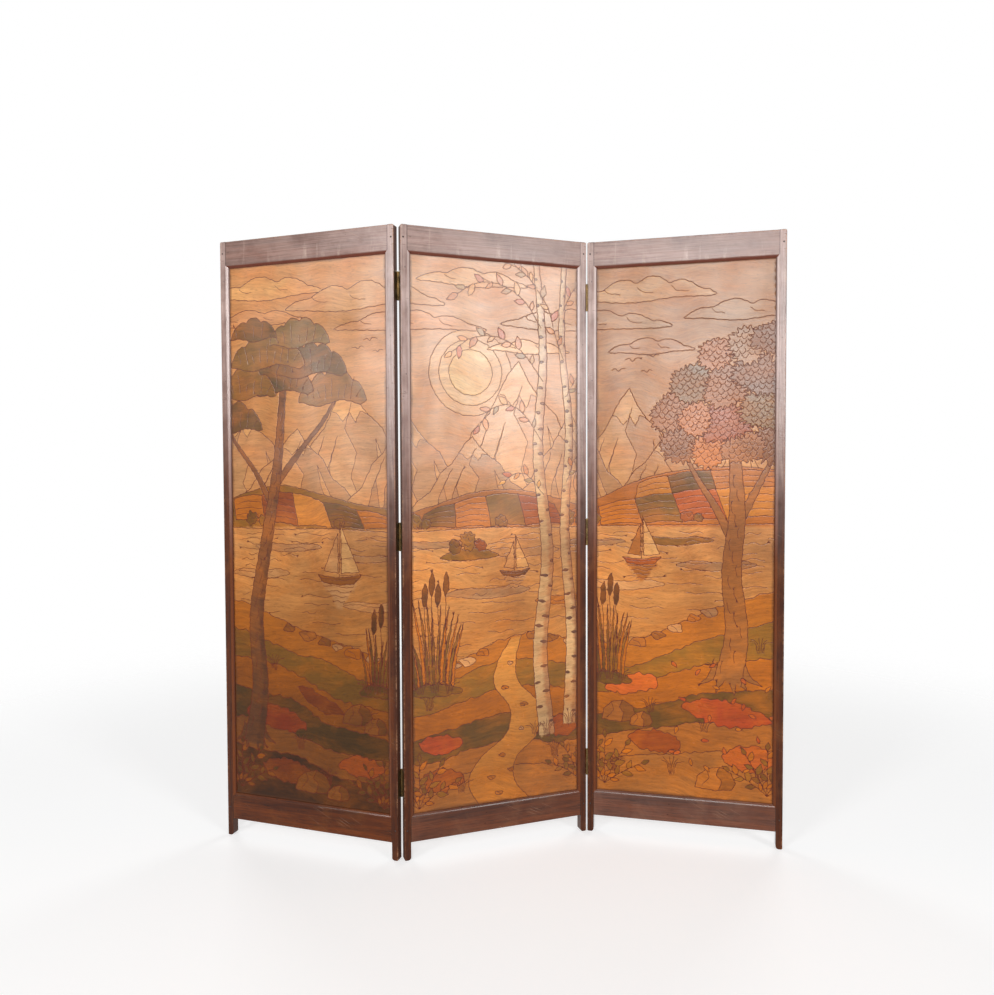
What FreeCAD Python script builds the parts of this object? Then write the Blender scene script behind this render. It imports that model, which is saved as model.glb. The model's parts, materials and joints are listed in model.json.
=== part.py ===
import FreeCAD, Part
import math
import os

import Sketcher

# A free-standing folding screen of three framed leaves, in millimetres and degrees.
# A leaf has a frame of its own: X along its width from its left edge, Y from its front face backwards
# and Z up from the floor. The screen stands on Z = 0, with the middle of its plan box at the origin,
# and +Y points away from the person who looks at it.

DRIVING_SIZES = {
    # The leaves, and how each one is turned in plan
    "leaf_height": 1700,
    "leaf_width": 540,
    "leaf_thick": 22,
    "left_turn": -18,
    "middle_turn": 19.5,
    "right_turn": -13.2,
    # The moulded section of the stiles and rails
    "stile_flat": 18,
    "top_rail_flat": 66,
    "bottom_rail_flat": 66,
    "foot_height": 48,
    "moulding_width": 9,
    "moulding_depth": 5,
    "moulding_radius": 14,
    "lip_thick": 6.5,
    "rebate_width": 8,
    "arris_radius": 2,
    "head_radius": 5,
    "foot_inner_radius": 8,
    "foot_outer_radius": 4,
    # The pegged mortise and tenon joints
    "tenon_length": 15,
    "tenon_thick": 7,
    "tenon_shoulder": 10,
    "mortise_room": 0.2,
    "peg_diameter": 5,
    "peg_sink": 0.6,
    "peg_inset": 8,
    # The panel, and the pinned beads that hold it from behind
    "panel_thick": 4,
    "panel_room": 1,
    "bead_depth": 8,
    "bead_radius": 5,
    "panel_pin_diameter": 1.4,
    "panel_pin_length": 12,
    "panel_pin_margin": 80,
    # The butt hinges
    "hinge_length": 76,
    "hinge_margin": 119,
    "leaf_gap": 1.4,
    "barrel_radius": 3,
    "barrel_room": 0.2,
    "plate_thick": 1,
    "plate_width": 18,
    "plate_setback": 0.3,
    "gain_room": 0.2,
    "knuckle_gap": 0.3,
    "hinge_pin_end": 0.8,
    # The countersunk screws of the hinges
    "screw_diameter": 3,
    "screw_head_diameter": 4.8,
    "screw_length": 12,
    "screw_point": 3,
    "screw_pitch": 27,
    "screw_near": 6,
    "screw_far": 12,
    "slot_width": 0.8,
    "slot_depth": 0.5,
    # The room round every round piece in its hole
    "hole_room": 0.05,
}

SIDE_BEAD_PINS = 6
RAIL_BEAD_PINS = 3
KNUCKLES = 5
CUT_PAST = 2
PARTS_FOLDER = "parts"

# The face of the leaf that each hinged stile has its barrels on
HINGED_STILES = {
    ("left", "right"): "back",
    ("middle", "left"): "back",
    ("middle", "right"): "front",
    ("right", "left"): "front",
}

doc = FreeCAD.newDocument("folding_screen")
sheet = doc.addObject("Spreadsheet::Sheet", "Sizes")
for row, (alias, number) in enumerate(DRIVING_SIZES.items(), start=1):
    sheet.set(f"A{row}", alias.replace("_", " "))
    sheet.set(f"B{row}", str(number))
    sheet.setAlias(f"B{row}", alias)
doc.recompute()


class Size:
    """A size from the sheet: its value, and the expression that keeps a feature bound to it."""

    def __init__(self, value, text):
        self.value = value
        self.text = text

    def __add__(self, other):
        other = as_size(other)
        return Size(self.value + other.value, f"({self.text} + {other.text})")

    def __sub__(self, other):
        other = as_size(other)
        return Size(self.value - other.value, f"({self.text} - {other.text})")

    def __mul__(self, number):
        return Size(self.value * number, f"({self.text} * {number})")

    def __truediv__(self, number):
        return Size(self.value / number, f"({self.text} / {number})")

    def __neg__(self):
        return self * -1


def as_size(number):
    """The same size, or a plain number as a size that is bound to nothing."""
    if isinstance(number, Size):
        return number
    return Size(float(number), str(float(number)))


def cell(alias):
    """The driving size with this name."""
    return Size(float(sheet.get(alias)), f"{sheet.Name}.{alias}")


def half_chord(radius, distance):
    """Half the chord that lies at a distance from the middle of a circle."""
    value = math.sqrt(radius.value**2 - distance.value**2)
    return Size(value, f"sqrt({radius.text}^2 - {distance.text}^2)")


ZERO = as_size(0)

leaf_height = cell("leaf_height")
leaf_width = cell("leaf_width")
leaf_thick = cell("leaf_thick")

stile_flat = cell("stile_flat")
moulding_width = cell("moulding_width")
moulding_depth = cell("moulding_depth")
moulding_radius = cell("moulding_radius")
lip_thick = cell("lip_thick")
rebate_width = cell("rebate_width")
arris_radius = cell("arris_radius")
foot_height = cell("foot_height")
stile_sight = stile_flat + moulding_width
stile_rebate = stile_sight - rebate_width
RAIL_FLATS = {"top": cell("top_rail_flat"), "bottom": cell("bottom_rail_flat")}

tenon_length = cell("tenon_length")
tenon_shoulder = cell("tenon_shoulder")
tenon_front = (leaf_thick - cell("tenon_thick")) / 2
mortise_room = cell("mortise_room")
peg_radius = cell("peg_diameter") / 2
peg_inset = cell("peg_inset")
peg_sink = cell("peg_sink")
hole_room = cell("hole_room")

bead_depth = cell("bead_depth")
bead_radius = cell("bead_radius")
bead_front = lip_thick + cell("panel_thick")
bead_back = bead_front + bead_depth
bead_middle = bead_front + bead_depth / 2
panel_pin_radius = cell("panel_pin_diameter") / 2
panel_pin_length = cell("panel_pin_length")
panel_pin_margin = cell("panel_pin_margin")

hinge_length = cell("hinge_length")
hinge_margin = cell("hinge_margin")
barrel_radius = cell("barrel_radius")
plate_thick = cell("plate_thick")
plate_setback = cell("plate_setback")
plate_far_edge = plate_setback + cell("plate_width")
gain_room = cell("gain_room")
knuckle_gap = cell("knuckle_gap")
knuckle_pitch = hinge_length / KNUCKLES
hinge_pin_radius = barrel_radius - plate_thick - hole_room
hinge_pin_end = cell("hinge_pin_end")
half_leaf_gap = cell("leaf_gap") / 2
plate_back = half_leaf_gap + plate_thick
axis_out = barrel_radius + cell("barrel_room")
low_hinge = foot_height + hinge_margin
high_hinge = leaf_height - hinge_margin - hinge_length
HINGE_LEVELS = {
    "top": high_hinge,
    "middle": (low_hinge + high_hinge) / 2,
    "bottom": low_hinge,
}

screw_radius = cell("screw_diameter") / 2
screw_head_radius = cell("screw_head_diameter") / 2
screw_length = cell("screw_length")
screw_pitch = cell("screw_pitch")
# Each screw of a plate: its distance from the plate's inner edge, and its steps from the middle
SCREW_PLACES = (
    (cell("screw_near"), -1),
    (cell("screw_far"), 0),
    (cell("screw_near"), 1),
)


# Sketches and features


class Arc:
    """A round edge of an outline, between two corners: its radius and a point on its outer side."""

    def __init__(self, radius, toward, long_way=False):
        self.radius = radius
        self.toward = toward
        self.long_way = long_way


def at(point):
    """The values of a sketch point."""
    return FreeCAD.Vector(as_size(point[0]).value, as_size(point[1]).value, 0)


def place_rules(curve, end, point):
    """The constraints that hold one end of a curve at its distances from the sketch's origin."""
    rules = []
    for kind, axis, size in (("DistanceX", -2, point[0]), ("DistanceY", -1, point[1])):
        if size is ZERO:
            rules.append((Sketcher.Constraint("PointOnObject", curve, end, axis), None))
        else:
            rules.append((Sketcher.Constraint(kind, -1, 1, curve, end, size.value), size.text))
    return rules


def hold(sketch, rules):
    """Add constraints to a sketch, and bind those that have an expression."""
    added = sketch.addConstraint([constraint for constraint, _ in rules])
    for index, (_, text) in zip(added, rules):
        if text:
            sketch.setExpression(f"Constraints[{index}]", text)


def add_arc(sketch, start, end, arc):
    """Add a round edge, drawn anticlockwise; returns it with its ends in the order of the outline."""
    first, last = at(start), at(end)
    chord = last - first
    right = FreeCAD.Vector(chord.y, -chord.x, 0).normalize()
    anticlockwise = right.dot(at(arc.toward) - first) > 0
    outward = right if anticlockwise else -right
    rise = math.sqrt(max(arc.radius.value**2 - chord.Length**2 / 4, 0))
    centre = (first + last) * 0.5 + outward * (rise if arc.long_way else -rise)
    if not anticlockwise:
        first, last = last, first
    angles = [math.atan2(point.y - centre.y, point.x - centre.x) for point in (first, last)]
    round_curve = Part.Circle(centre, FreeCAD.Vector(0, 0, 1), arc.radius.value)
    curve = sketch.addGeometry(Part.ArcOfCircle(round_curve, *angles))
    return (curve, 1, 2) if anticlockwise else (curve, 2, 1)


def outline(sketch, path):
    """Draw a closed outline: corners joined by straight edges, or by the Arc that stands between two."""
    curves = []
    rules = []
    for index, corner in enumerate(path):
        if isinstance(corner, Arc):
            continue
        arc = path[(index + 1) % len(path)]
        if isinstance(arc, Arc):
            curve = add_arc(sketch, corner, path[(index + 2) % len(path)], arc)
            rules.append((Sketcher.Constraint("Radius", curve[0], arc.radius.value), arc.radius.text))
        else:
            curve = (sketch.addGeometry(Part.LineSegment(at(corner), at(arc))), 1, 2)
        rules += place_rules(curve[0], curve[1], corner)
        curves.append(curve)
    for before, after in zip(curves, curves[1:] + curves[:1]):
        rules.append((Sketcher.Constraint("Coincident", before[0], before[2], after[0], after[1]), None))
    hold(sketch, rules)


def set_out(path, place):
    """The same outline with every point moved by place(first, second)."""
    placed = []
    for step in path:
        if isinstance(step, Arc):
            placed.append(Arc(step.radius, place(*step.toward), step.long_way))
        else:
            placed.append(place(*step))
    return placed


def rectangle(sketch, low, high):
    """Draw a rectangle between two opposite corners."""
    outline(sketch, [low, (high[0], low[1]), high, (low[0], high[1])])


def circle(sketch, centre, radius):
    """Draw a circle."""
    curve = sketch.addGeometry(Part.Circle(at(centre), FreeCAD.Vector(0, 0, 1), radius.value))
    rules = place_rules(curve, 3, centre)
    rules.append((Sketcher.Constraint("Radius", curve, radius.value), radius.text))
    hold(sketch, rules)


def new_body(label):
    body = doc.addObject("PartDesign::Body", label)
    body.Label = label
    return body


def origin_feature(body, role):
    return next(item for item in body.Origin.OriginFeatures if item.Role == role)


def new_sketch(body, name, plane, offset=None):
    """A sketch on one of the body's own planes, or at an offset along that plane's normal."""
    sketch = body.newObject("Sketcher::SketchObject", name)
    sketch.AttachmentSupport = [(origin_feature(body, plane), "")]
    sketch.MapMode = "FlatFace"
    if offset is not None and offset is not ZERO:
        sketch.AttachmentOffset = FreeCAD.Placement(FreeCAD.Vector(0, 0, offset.value), FreeCAD.Rotation())
        sketch.setExpression("AttachmentOffset.Base.z", offset.text)
    return sketch


def pad(body, sketch, length, reverse=False):
    feature = body.newObject("PartDesign::Pad", f"{sketch.Name}_pad")
    feature.Profile = sketch
    feature.setExpression("Length", length.text)
    feature.Reversed = reverse
    return feature


def pocket(body, sketch, length=None, reverse=False):
    """Cut a sketch to a length, or right through."""
    feature = body.newObject("PartDesign::Pocket", f"{sketch.Name}_cut")
    feature.Profile = sketch
    feature.Reversed = reverse
    if length is None:
        feature.Type = "ThroughAll"
    else:
        feature.setExpression("Length", length.text)
    return feature


def revolve(body, sketch):
    """Turn a sketch round its own upright axis."""
    feature = body.newObject("PartDesign::Revolution", f"{sketch.Name}_turn")
    feature.Profile = sketch
    feature.ReferenceAxis = (sketch, ["V_Axis"])
    feature.Angle = 360
    return feature


# The leaf: stiles, rails, panel and beads


def moulded_section(flat, place):
    """The frame section from its outer edge to its sight edge, set out by place(distance in, depth)."""
    sight = flat + moulding_width
    wall = sight - rebate_width
    path = [
        (arris_radius, ZERO),
        (flat, ZERO),
        Arc(moulding_radius, (sight, ZERO)),
        (sight, moulding_depth),
        (sight, lip_thick),
        (wall, lip_thick),
        (wall, leaf_thick),
        (arris_radius, leaf_thick),
        Arc(arris_radius, (ZERO, leaf_thick)),
        (ZERO, leaf_thick - arris_radius),
        (ZERO, arris_radius),
        Arc(arris_radius, (ZERO, ZERO)),
    ]
    return set_out(path, place)


def across(side):
    """The way from a distance in from a leaf's left or right edge to its place along the width."""
    if side == "left":
        return lambda distance: distance
    return lambda distance: leaf_width - distance


def upright(end):
    """The way from a distance in from a rail's top or bottom edge to its height."""
    if end == "top":
        return lambda distance: leaf_height - distance
    return lambda distance: foot_height + distance


def from_face(face):
    """The way from a depth under the front or back face to the leaf's own depth."""
    if face == "front":
        return lambda depth: depth
    return lambda depth: leaf_thick - depth


def sight_height(end):
    return upright(end)(RAIL_FLATS[end] + moulding_width)


def rebate_height(end):
    return upright(end)(RAIL_FLATS[end] + moulding_width - rebate_width)


def tenon_heights(end):
    """The low and high edge of a rail's tenons."""
    level = upright(end)
    edges = [level(tenon_shoulder), level(RAIL_FLATS[end] - tenon_shoulder)]
    return sorted(edges, key=lambda edge: edge.value)


def peg_height(end):
    return upright(end)(RAIL_FLATS[end] / 2)


def side_pin_heights():
    low = rebate_height("bottom") + panel_pin_margin
    high = rebate_height("top") - panel_pin_margin
    return [low + (high - low) * (step / (SIDE_BEAD_PINS - 1)) for step in range(SIDE_BEAD_PINS)]


def rail_pin_places():
    low = stile_rebate + panel_pin_margin
    high = leaf_width - low
    return [low + (high - low) * (step / (RAIL_BEAD_PINS - 1)) for step in range(RAIL_BEAD_PINS)]


def cut_stile_ends(body, side):
    """Cut the moulding back to its mitres at the rails, and round the head and the foot."""
    place = across(side)
    head_radius = cell("head_radius")
    inner_radius = cell("foot_inner_radius")
    outer_radius = cell("foot_outer_radius")
    past_sight = stile_sight + CUT_PAST
    past_head = leaf_height + CUT_PAST
    past_edge = as_size(-CUT_PAST)
    past_floor = as_size(-CUT_PAST)
    sketch = new_sketch(body, "ends", "XZ_Plane")
    head_mitre = [
        (stile_flat, leaf_height - RAIL_FLATS["top"]),
        (past_sight, sight_height("top") - CUT_PAST),
        (past_sight, past_head),
        (stile_flat, past_head),
    ]
    foot_mitre = [
        (stile_flat, foot_height + RAIL_FLATS["bottom"]),
        (past_sight, sight_height("bottom") + CUT_PAST),
        (past_sight, past_floor),
        (stile_flat - inner_radius, past_floor),
        (stile_flat - inner_radius, ZERO),
        Arc(inner_radius, (stile_flat, ZERO)),
        (stile_flat, inner_radius),
    ]
    head_corner = [
        (past_edge, past_head),
        (past_edge, leaf_height - head_radius),
        (ZERO, leaf_height - head_radius),
        Arc(head_radius, (ZERO, leaf_height)),
        (head_radius, leaf_height),
        (head_radius, past_head),
    ]
    foot_corner = [
        (past_edge, past_floor),
        (outer_radius, past_floor),
        (outer_radius, ZERO),
        Arc(outer_radius, (ZERO, ZERO)),
        (ZERO, outer_radius),
        (past_edge, outer_radius),
    ]
    for path in (head_mitre, foot_mitre, head_corner, foot_corner):
        outline(sketch, set_out(path, lambda distance, height: (place(distance), height)))
    pocket(body, sketch)


def cut_hinge_gains(body, side, face):
    """Let the hinge plates into the stile's outer edge, with a pilot hole for each screw."""
    edge = across(side)(ZERO)
    depth = from_face(face)
    inward = side == "left"
    gains = new_sketch(body, "hinge_gains", "YZ_Plane", edge)
    pilots = new_sketch(body, "screw_pilots", "YZ_Plane", edge)
    for level in HINGE_LEVELS.values():
        open_side = depth(as_size(-CUT_PAST))
        far_side = depth(plate_far_edge + gain_room)
        rectangle(gains, (open_side, level - gain_room), (far_side, level + hinge_length + gain_room))
        for inset, step in SCREW_PLACES:
            centre = (depth(plate_setback + inset), level + hinge_length / 2 + screw_pitch * step)
            circle(pilots, centre, screw_radius + hole_room)
    pocket(body, gains, plate_thick, reverse=inward)
    pocket(body, pilots, screw_length + hole_room, reverse=inward)


def make_stile(leaf, side):
    """A full-height stile: moulded section, mitred ends, mortises and holes."""
    body = new_body(f"{leaf}_leaf_{side}_stile")
    place = across(side)
    inward = side == "right"
    section = new_sketch(body, "section", "XY_Plane")
    outline(section, moulded_section(stile_flat, lambda distance, depth: (place(distance), depth)))
    pad(body, section, leaf_height)
    cut_stile_ends(body, side)

    mortises = new_sketch(body, "mortises", "YZ_Plane", place(stile_flat))
    pegs = new_sketch(body, "peg_holes", "XZ_Plane")
    for end in ("top", "bottom"):
        low, high = tenon_heights(end)
        front = tenon_front - mortise_room
        back = leaf_thick - front
        rectangle(mortises, (front, low - mortise_room), (back, high + mortise_room))
        circle(pegs, (place(peg_inset), peg_height(end)), peg_radius + hole_room)
    pocket(body, mortises, tenon_length + mortise_room, reverse=inward)
    pocket(body, pegs)

    pins = new_sketch(body, "panel_pin_holes", "YZ_Plane", place(stile_sight))
    for height in side_pin_heights():
        circle(pins, (bead_middle, height), panel_pin_radius + hole_room)
    pocket(body, pins, panel_pin_length + hole_room, reverse=inward)
    if (leaf, side) in HINGED_STILES:
        cut_hinge_gains(body, side, HINGED_STILES[leaf, side])
    return body


def make_rail(leaf, end):
    """A top or bottom rail: moulded section, mitred moulding ends, two tenons and holes."""
    body = new_body(f"{leaf}_leaf_{end}_rail")
    level = upright(end)
    flat = RAIL_FLATS[end]
    past_sight = flat + moulding_width + CUT_PAST
    section = new_sketch(body, "section", "YZ_Plane", stile_flat)
    outline(section, moulded_section(flat, lambda distance, depth: (depth, level(distance))))
    pad(body, section, leaf_width - stile_flat * 2)

    mitres = new_sketch(body, "mitres", "XZ_Plane")
    pegs = new_sketch(body, "peg_holes", "XZ_Plane")
    low, high = tenon_heights(end)
    for side in ("left", "right"):
        place = across(side)
        mitre = [
            (place(stile_flat), level(flat)),
            (place(stile_sight + CUT_PAST), level(past_sight)),
            (place(stile_flat - CUT_PAST), level(past_sight)),
            (place(stile_flat - CUT_PAST), level(flat)),
        ]
        outline(mitres, mitre)
        circle(pegs, (place(peg_inset), peg_height(end)), peg_radius + hole_room)
    pocket(body, mitres)
    for side in ("left", "right"):
        tenon = new_sketch(body, f"{side}_tenon", "YZ_Plane", across(side)(stile_flat))
        rectangle(tenon, (tenon_front, low), (leaf_thick - tenon_front, high))
        pad(body, tenon, tenon_length, reverse=side == "left")
    pocket(body, pegs)

    pins = new_sketch(body, "panel_pin_holes", "XY_Plane", sight_height(end))
    for along in rail_pin_places():
        circle(pins, (along, bead_middle), panel_pin_radius + hole_room)
    pocket(body, pins, panel_pin_length + hole_room, reverse=end == "top")
    return body


def make_panel(leaf):
    """The thin board in the rebate, a little smaller than its seat."""
    board = doc.addObject("Part::Box", f"{leaf}_leaf_panel")
    board.Label = f"{leaf}_leaf_panel"
    room = cell("panel_room")
    left = stile_rebate + room
    low = rebate_height("bottom") + room
    board.setExpression("Length", (leaf_width - left * 2).text)
    board.setExpression("Width", cell("panel_thick").text)
    board.setExpression("Height", (rebate_height("top") - room - low).text)
    return board, FreeCAD.Vector(left.value, lip_thick.value, low.value)


def bead_section(place):
    """The bead from the rebate's wall to the sight edge, with its inner back corner rounded."""
    path = [
        (ZERO, bead_front),
        (rebate_width, bead_front),
        (rebate_width, bead_back - bead_radius),
        Arc(bead_radius, (rebate_width, bead_back)),
        (rebate_width - bead_radius, bead_back),
        (ZERO, bead_back),
    ]
    return set_out(path, place)


def make_side_bead(leaf, side):
    """An upright bead, mitred at both ends."""
    body = new_body(f"{leaf}_leaf_{side}_bead")
    place = across(side)
    low = rebate_height("bottom")
    high = rebate_height("top")
    section = new_sketch(body, "section", "XY_Plane", low)
    outline(section, bead_section(lambda distance, depth: (place(stile_rebate + distance), depth)))
    pad(body, section, high - low)
    mitres = new_sketch(body, "mitres", "XZ_Plane")
    past_sight = place(stile_sight + CUT_PAST)
    wall = place(stile_rebate)
    outline(mitres, [(wall, high), (past_sight, high - rebate_width - CUT_PAST), (past_sight, high)])
    outline(mitres, [(wall, low), (past_sight, low + rebate_width + CUT_PAST), (past_sight, low)])
    pocket(body, mitres)
    pins = new_sketch(body, "panel_pin_holes", "YZ_Plane", place(stile_sight))
    for height in side_pin_heights():
        circle(pins, (bead_middle, height), panel_pin_radius + hole_room)
    pocket(body, pins, panel_pin_length, reverse=side == "right")
    return body


def make_rail_bead(leaf, end):
    """A level bead, mitred at both ends."""
    body = new_body(f"{leaf}_leaf_{end}_bead")
    inward = (lambda distance: -distance) if end == "top" else (lambda distance: distance)
    wall = rebate_height(end)
    section = new_sketch(body, "section", "YZ_Plane", stile_rebate)
    outline(section, bead_section(lambda distance, depth: (depth, wall + inward(distance))))
    pad(body, section, leaf_width - stile_rebate * 2)
    mitres = new_sketch(body, "mitres", "XZ_Plane")
    past_sight = wall + inward(rebate_width + CUT_PAST)
    for side in ("left", "right"):
        place = across(side)
        start = place(stile_rebate)
        outline(mitres, [(start, wall), (place(stile_sight + CUT_PAST), past_sight), (start, past_sight)])
    pocket(body, mitres)
    pins = new_sketch(body, "panel_pin_holes", "XY_Plane", sight_height(end))
    for along in rail_pin_places():
        circle(pins, (along, bead_middle), panel_pin_radius + hole_room)
    pocket(body, pins, panel_pin_length, reverse=end == "top")
    return body


# The hinges and the fasteners


def make_plate(label, sign, slots):
    """A hinge plate on one side of its axis, with rolled knuckles in its slots and countersunk holes."""
    body = new_body(label)
    gap_face = half_leaf_gap * sign
    wood_face = plate_back * sign
    near_edge = axis_out + plate_setback
    far_edge = axis_out + plate_far_edge
    blank = new_sketch(body, "blank", "XY_Plane")
    rectangle(blank, (gap_face, near_edge), (wood_face, far_edge))
    pad(body, blank, hinge_length)

    roll = new_sketch(body, "knuckle", "XY_Plane", knuckle_pitch * slots[0] + knuckle_gap / 2)
    tab_end = near_edge + plate_thick
    rolled_path = [
        (wood_face, half_chord(barrel_radius, plate_back)),
        (wood_face, tab_end),
        (gap_face, tab_end),
        (gap_face, half_chord(barrel_radius, half_leaf_gap)),
        Arc(barrel_radius, (-wood_face, -barrel_radius), long_way=True),
    ]
    outline(roll, rolled_path)
    knuckle = pad(body, roll, knuckle_pitch - knuckle_gap)
    row = body.newObject("PartDesign::LinearPattern", "knuckles")
    row.Originals = [knuckle]
    row.Direction = (origin_feature(body, "Z_Axis"), [""])
    row.setExpression("Length", (knuckle_pitch * (slots[-1] - slots[0])).text)
    row.Occurrences = len(slots)
    body.Tip = row

    bore = new_sketch(body, "pin_bore", "XY_Plane")
    circle(bore, (ZERO, ZERO), hinge_pin_radius + hole_room)
    pocket(body, bore, reverse=True)

    holes = new_sketch(body, "screw_holes", "YZ_Plane", gap_face)
    for inset, step in SCREW_PLACES:
        circle(holes, (near_edge + inset, hinge_length / 2 + screw_pitch * step), screw_radius)
    doc.recompute()
    drilled = body.newObject("PartDesign::Hole", "countersunk_holes")
    drilled.Profile = holes
    drilled.Reversed = sign > 0
    drilled.DepthType = "ThroughAll"
    drilled.ThreadType = "None"
    drilled.HoleCutType = "Countersink"
    drilled.HoleCutCustomValues = True
    drilled.HoleCutCountersinkAngle = 90
    drilled.setExpression("Diameter", ((screw_radius + hole_room) * 2).text)
    drilled.setExpression("HoleCutDiameter", ((screw_head_radius + hole_room) * 2).text)
    return body


def make_hinge_pin(label):
    """A plain pin with rounded ends that stand out of the barrel."""
    body = new_body(label)
    top = hinge_length + hinge_pin_end
    section = new_sketch(body, "section", "XZ_Plane")
    path = [
        (ZERO, -hinge_pin_end),
        (hinge_pin_radius - hinge_pin_end, -hinge_pin_end),
        Arc(hinge_pin_end, (hinge_pin_radius, -hinge_pin_end)),
        (hinge_pin_radius, ZERO),
        (hinge_pin_radius, hinge_length),
        Arc(hinge_pin_end, (hinge_pin_radius, top)),
        (hinge_pin_radius - hinge_pin_end, top),
        (ZERO, top),
    ]
    outline(section, path)
    revolve(body, section)
    return body


def make_screw():
    """One countersunk slotted screw, which points down from its head at the origin."""
    body = new_body("screw_pattern")
    point = screw_length - cell("screw_point")
    half_slot = cell("slot_width") / 2
    section = new_sketch(body, "section", "XZ_Plane")
    path = [
        (ZERO, ZERO),
        (screw_head_radius, ZERO),
        (screw_radius, screw_radius - screw_head_radius),
        (screw_radius, -point),
        (ZERO, -screw_length),
    ]
    outline(section, path)
    revolve(body, section)
    slot = new_sketch(body, "slot", "XY_Plane")
    rectangle(slot, (-screw_head_radius, -half_slot), (screw_head_radius, half_slot))
    pocket(body, slot, cell("slot_depth"))
    return body


def make_peg():
    """One plain peg that lies along +Y from the origin when it is turned into place."""
    peg = doc.addObject("Part::Cylinder", "peg_pattern")
    peg.setExpression("Radius", peg_radius.text)
    peg.setExpression("Height", (leaf_thick - peg_sink * 2).text)
    return peg


def make_panel_pin():
    """One headless panel pin."""
    pin = doc.addObject("Part::Cylinder", "panel_pin_pattern")
    pin.setExpression("Radius", panel_pin_radius.text)
    pin.setExpression("Height", panel_pin_length.text)
    return pin


def copies(label, pattern, places):
    """A group of separate copies of one fastener, in a leaf's frame."""
    solids = []
    for place in places:
        solid = pattern.Shape.copy()
        solid.Placement = place
        solids.append(solid)
    group = doc.addObject("Part::Feature", label)
    group.Label = label
    group.Shape = Part.makeCompound(solids)
    return group


def pointing(x, y, z, direction):
    """The place of a fastener whose own +Z goes to a direction."""
    turn = FreeCAD.Rotation(FreeCAD.Vector(0, 0, 1), FreeCAD.Vector(*direction))
    return FreeCAD.Placement(FreeCAD.Vector(x.value, y.value, z.value), turn)


def peg_places():
    places = []
    for side in ("left", "right"):
        for end in ("top", "bottom"):
            places.append(pointing(across(side)(peg_inset), peg_sink, peg_height(end), (0, 1, 0)))
    return places


def panel_pin_places():
    places = []
    for side, out in (("left", -1), ("right", 1)):
        for height in side_pin_heights():
            places.append(pointing(across(side)(stile_sight), bead_middle, height, (out, 0, 0)))
    for end, out in (("bottom", -1), ("top", 1)):
        for along in rail_pin_places():
            places.append(pointing(along, bead_middle, sight_height(end), (0, 0, out)))
    return places


def screw_places(side, face):
    """Every hinge screw of one stile, with its head to the outside of the leaf."""
    out = -1 if side == "left" else 1
    places = []
    for level in HINGE_LEVELS.values():
        for inset, step in SCREW_PLACES:
            height = level + hinge_length / 2 + screw_pitch * step
            depth = from_face(face)(plate_setback + inset)
            places.append(pointing(across(side)(ZERO), depth, height, (out, 0, 0)))
    return places


# The places of the leaves and hinges in plan


def fold_axis(side, face):
    """The hinge axis at one edge of a leaf, in that leaf's frame."""
    along = -half_leaf_gap.value if side == "left" else leaf_width.value + half_leaf_gap.value
    return FreeCAD.Vector(along, from_face(face)(-axis_out).value, 0)


def leaf_turn(leaf):
    return FreeCAD.Rotation(FreeCAD.Vector(0, 0, 1), cell(f"{leaf}_turn").value)


def leaf_frames():
    """Each leaf's frame, folded at its hinges and with the plan box centred on the origin."""
    turns = {leaf: leaf_turn(leaf) for leaf in ("left", "middle", "right")}
    starts = {"middle": FreeCAD.Vector()}
    left_axis = turns["middle"].multVec(fold_axis("left", "back"))
    right_axis = turns["middle"].multVec(fold_axis("right", "front"))
    starts["left"] = left_axis - turns["left"].multVec(fold_axis("right", "back"))
    starts["right"] = right_axis - turns["right"].multVec(fold_axis("left", "front"))
    box = FreeCAD.BoundBox()
    for leaf, turn in turns.items():
        for along in (0, leaf_width.value):
            for depth in (0, leaf_thick.value):
                box.add(starts[leaf] + turn.multVec(FreeCAD.Vector(along, depth, 0)))
    middle = FreeCAD.Vector(box.Center.x, box.Center.y, 0)
    return {leaf: FreeCAD.Placement(starts[leaf] - middle, turn) for leaf, turn in turns.items()}


def hinge_frame(leaf_frame, side, face, level):
    """The frame of a hinge piece: on the axis, at the hinge's foot, with +Y into the stile's edge."""
    axis = fold_axis(side, face)
    axis.z = level.value
    half_turn = FreeCAD.Rotation(FreeCAD.Vector(0, 0, 1), 180 if face == "back" else 0)
    return leaf_frame.multiply(FreeCAD.Placement(axis, half_turn))


# The assembly

nodes = []


def stand(node, frame):
    """Set a finished sub-part in its place, and keep it for the hand-over."""
    node.Placement = frame
    nodes.append(node)


frames = leaf_frames()
peg_pattern = make_peg()
panel_pin_pattern = make_panel_pin()
screw_pattern = make_screw()
doc.recompute()

for leaf, frame in frames.items():
    for side in ("left", "right"):
        stand(make_stile(leaf, side), frame)
        stand(make_side_bead(leaf, side), frame)
    for end in ("top", "bottom"):
        stand(make_rail(leaf, end), frame)
        stand(make_rail_bead(leaf, end), frame)
    panel, panel_corner = make_panel(leaf)
    stand(panel, frame.multiply(FreeCAD.Placement(panel_corner, FreeCAD.Rotation())))
    stand(copies(f"{leaf}_leaf_joint_pegs", peg_pattern, peg_places()), frame)
    stand(copies(f"{leaf}_leaf_bead_pins", panel_pin_pattern, panel_pin_places()), frame)

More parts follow.
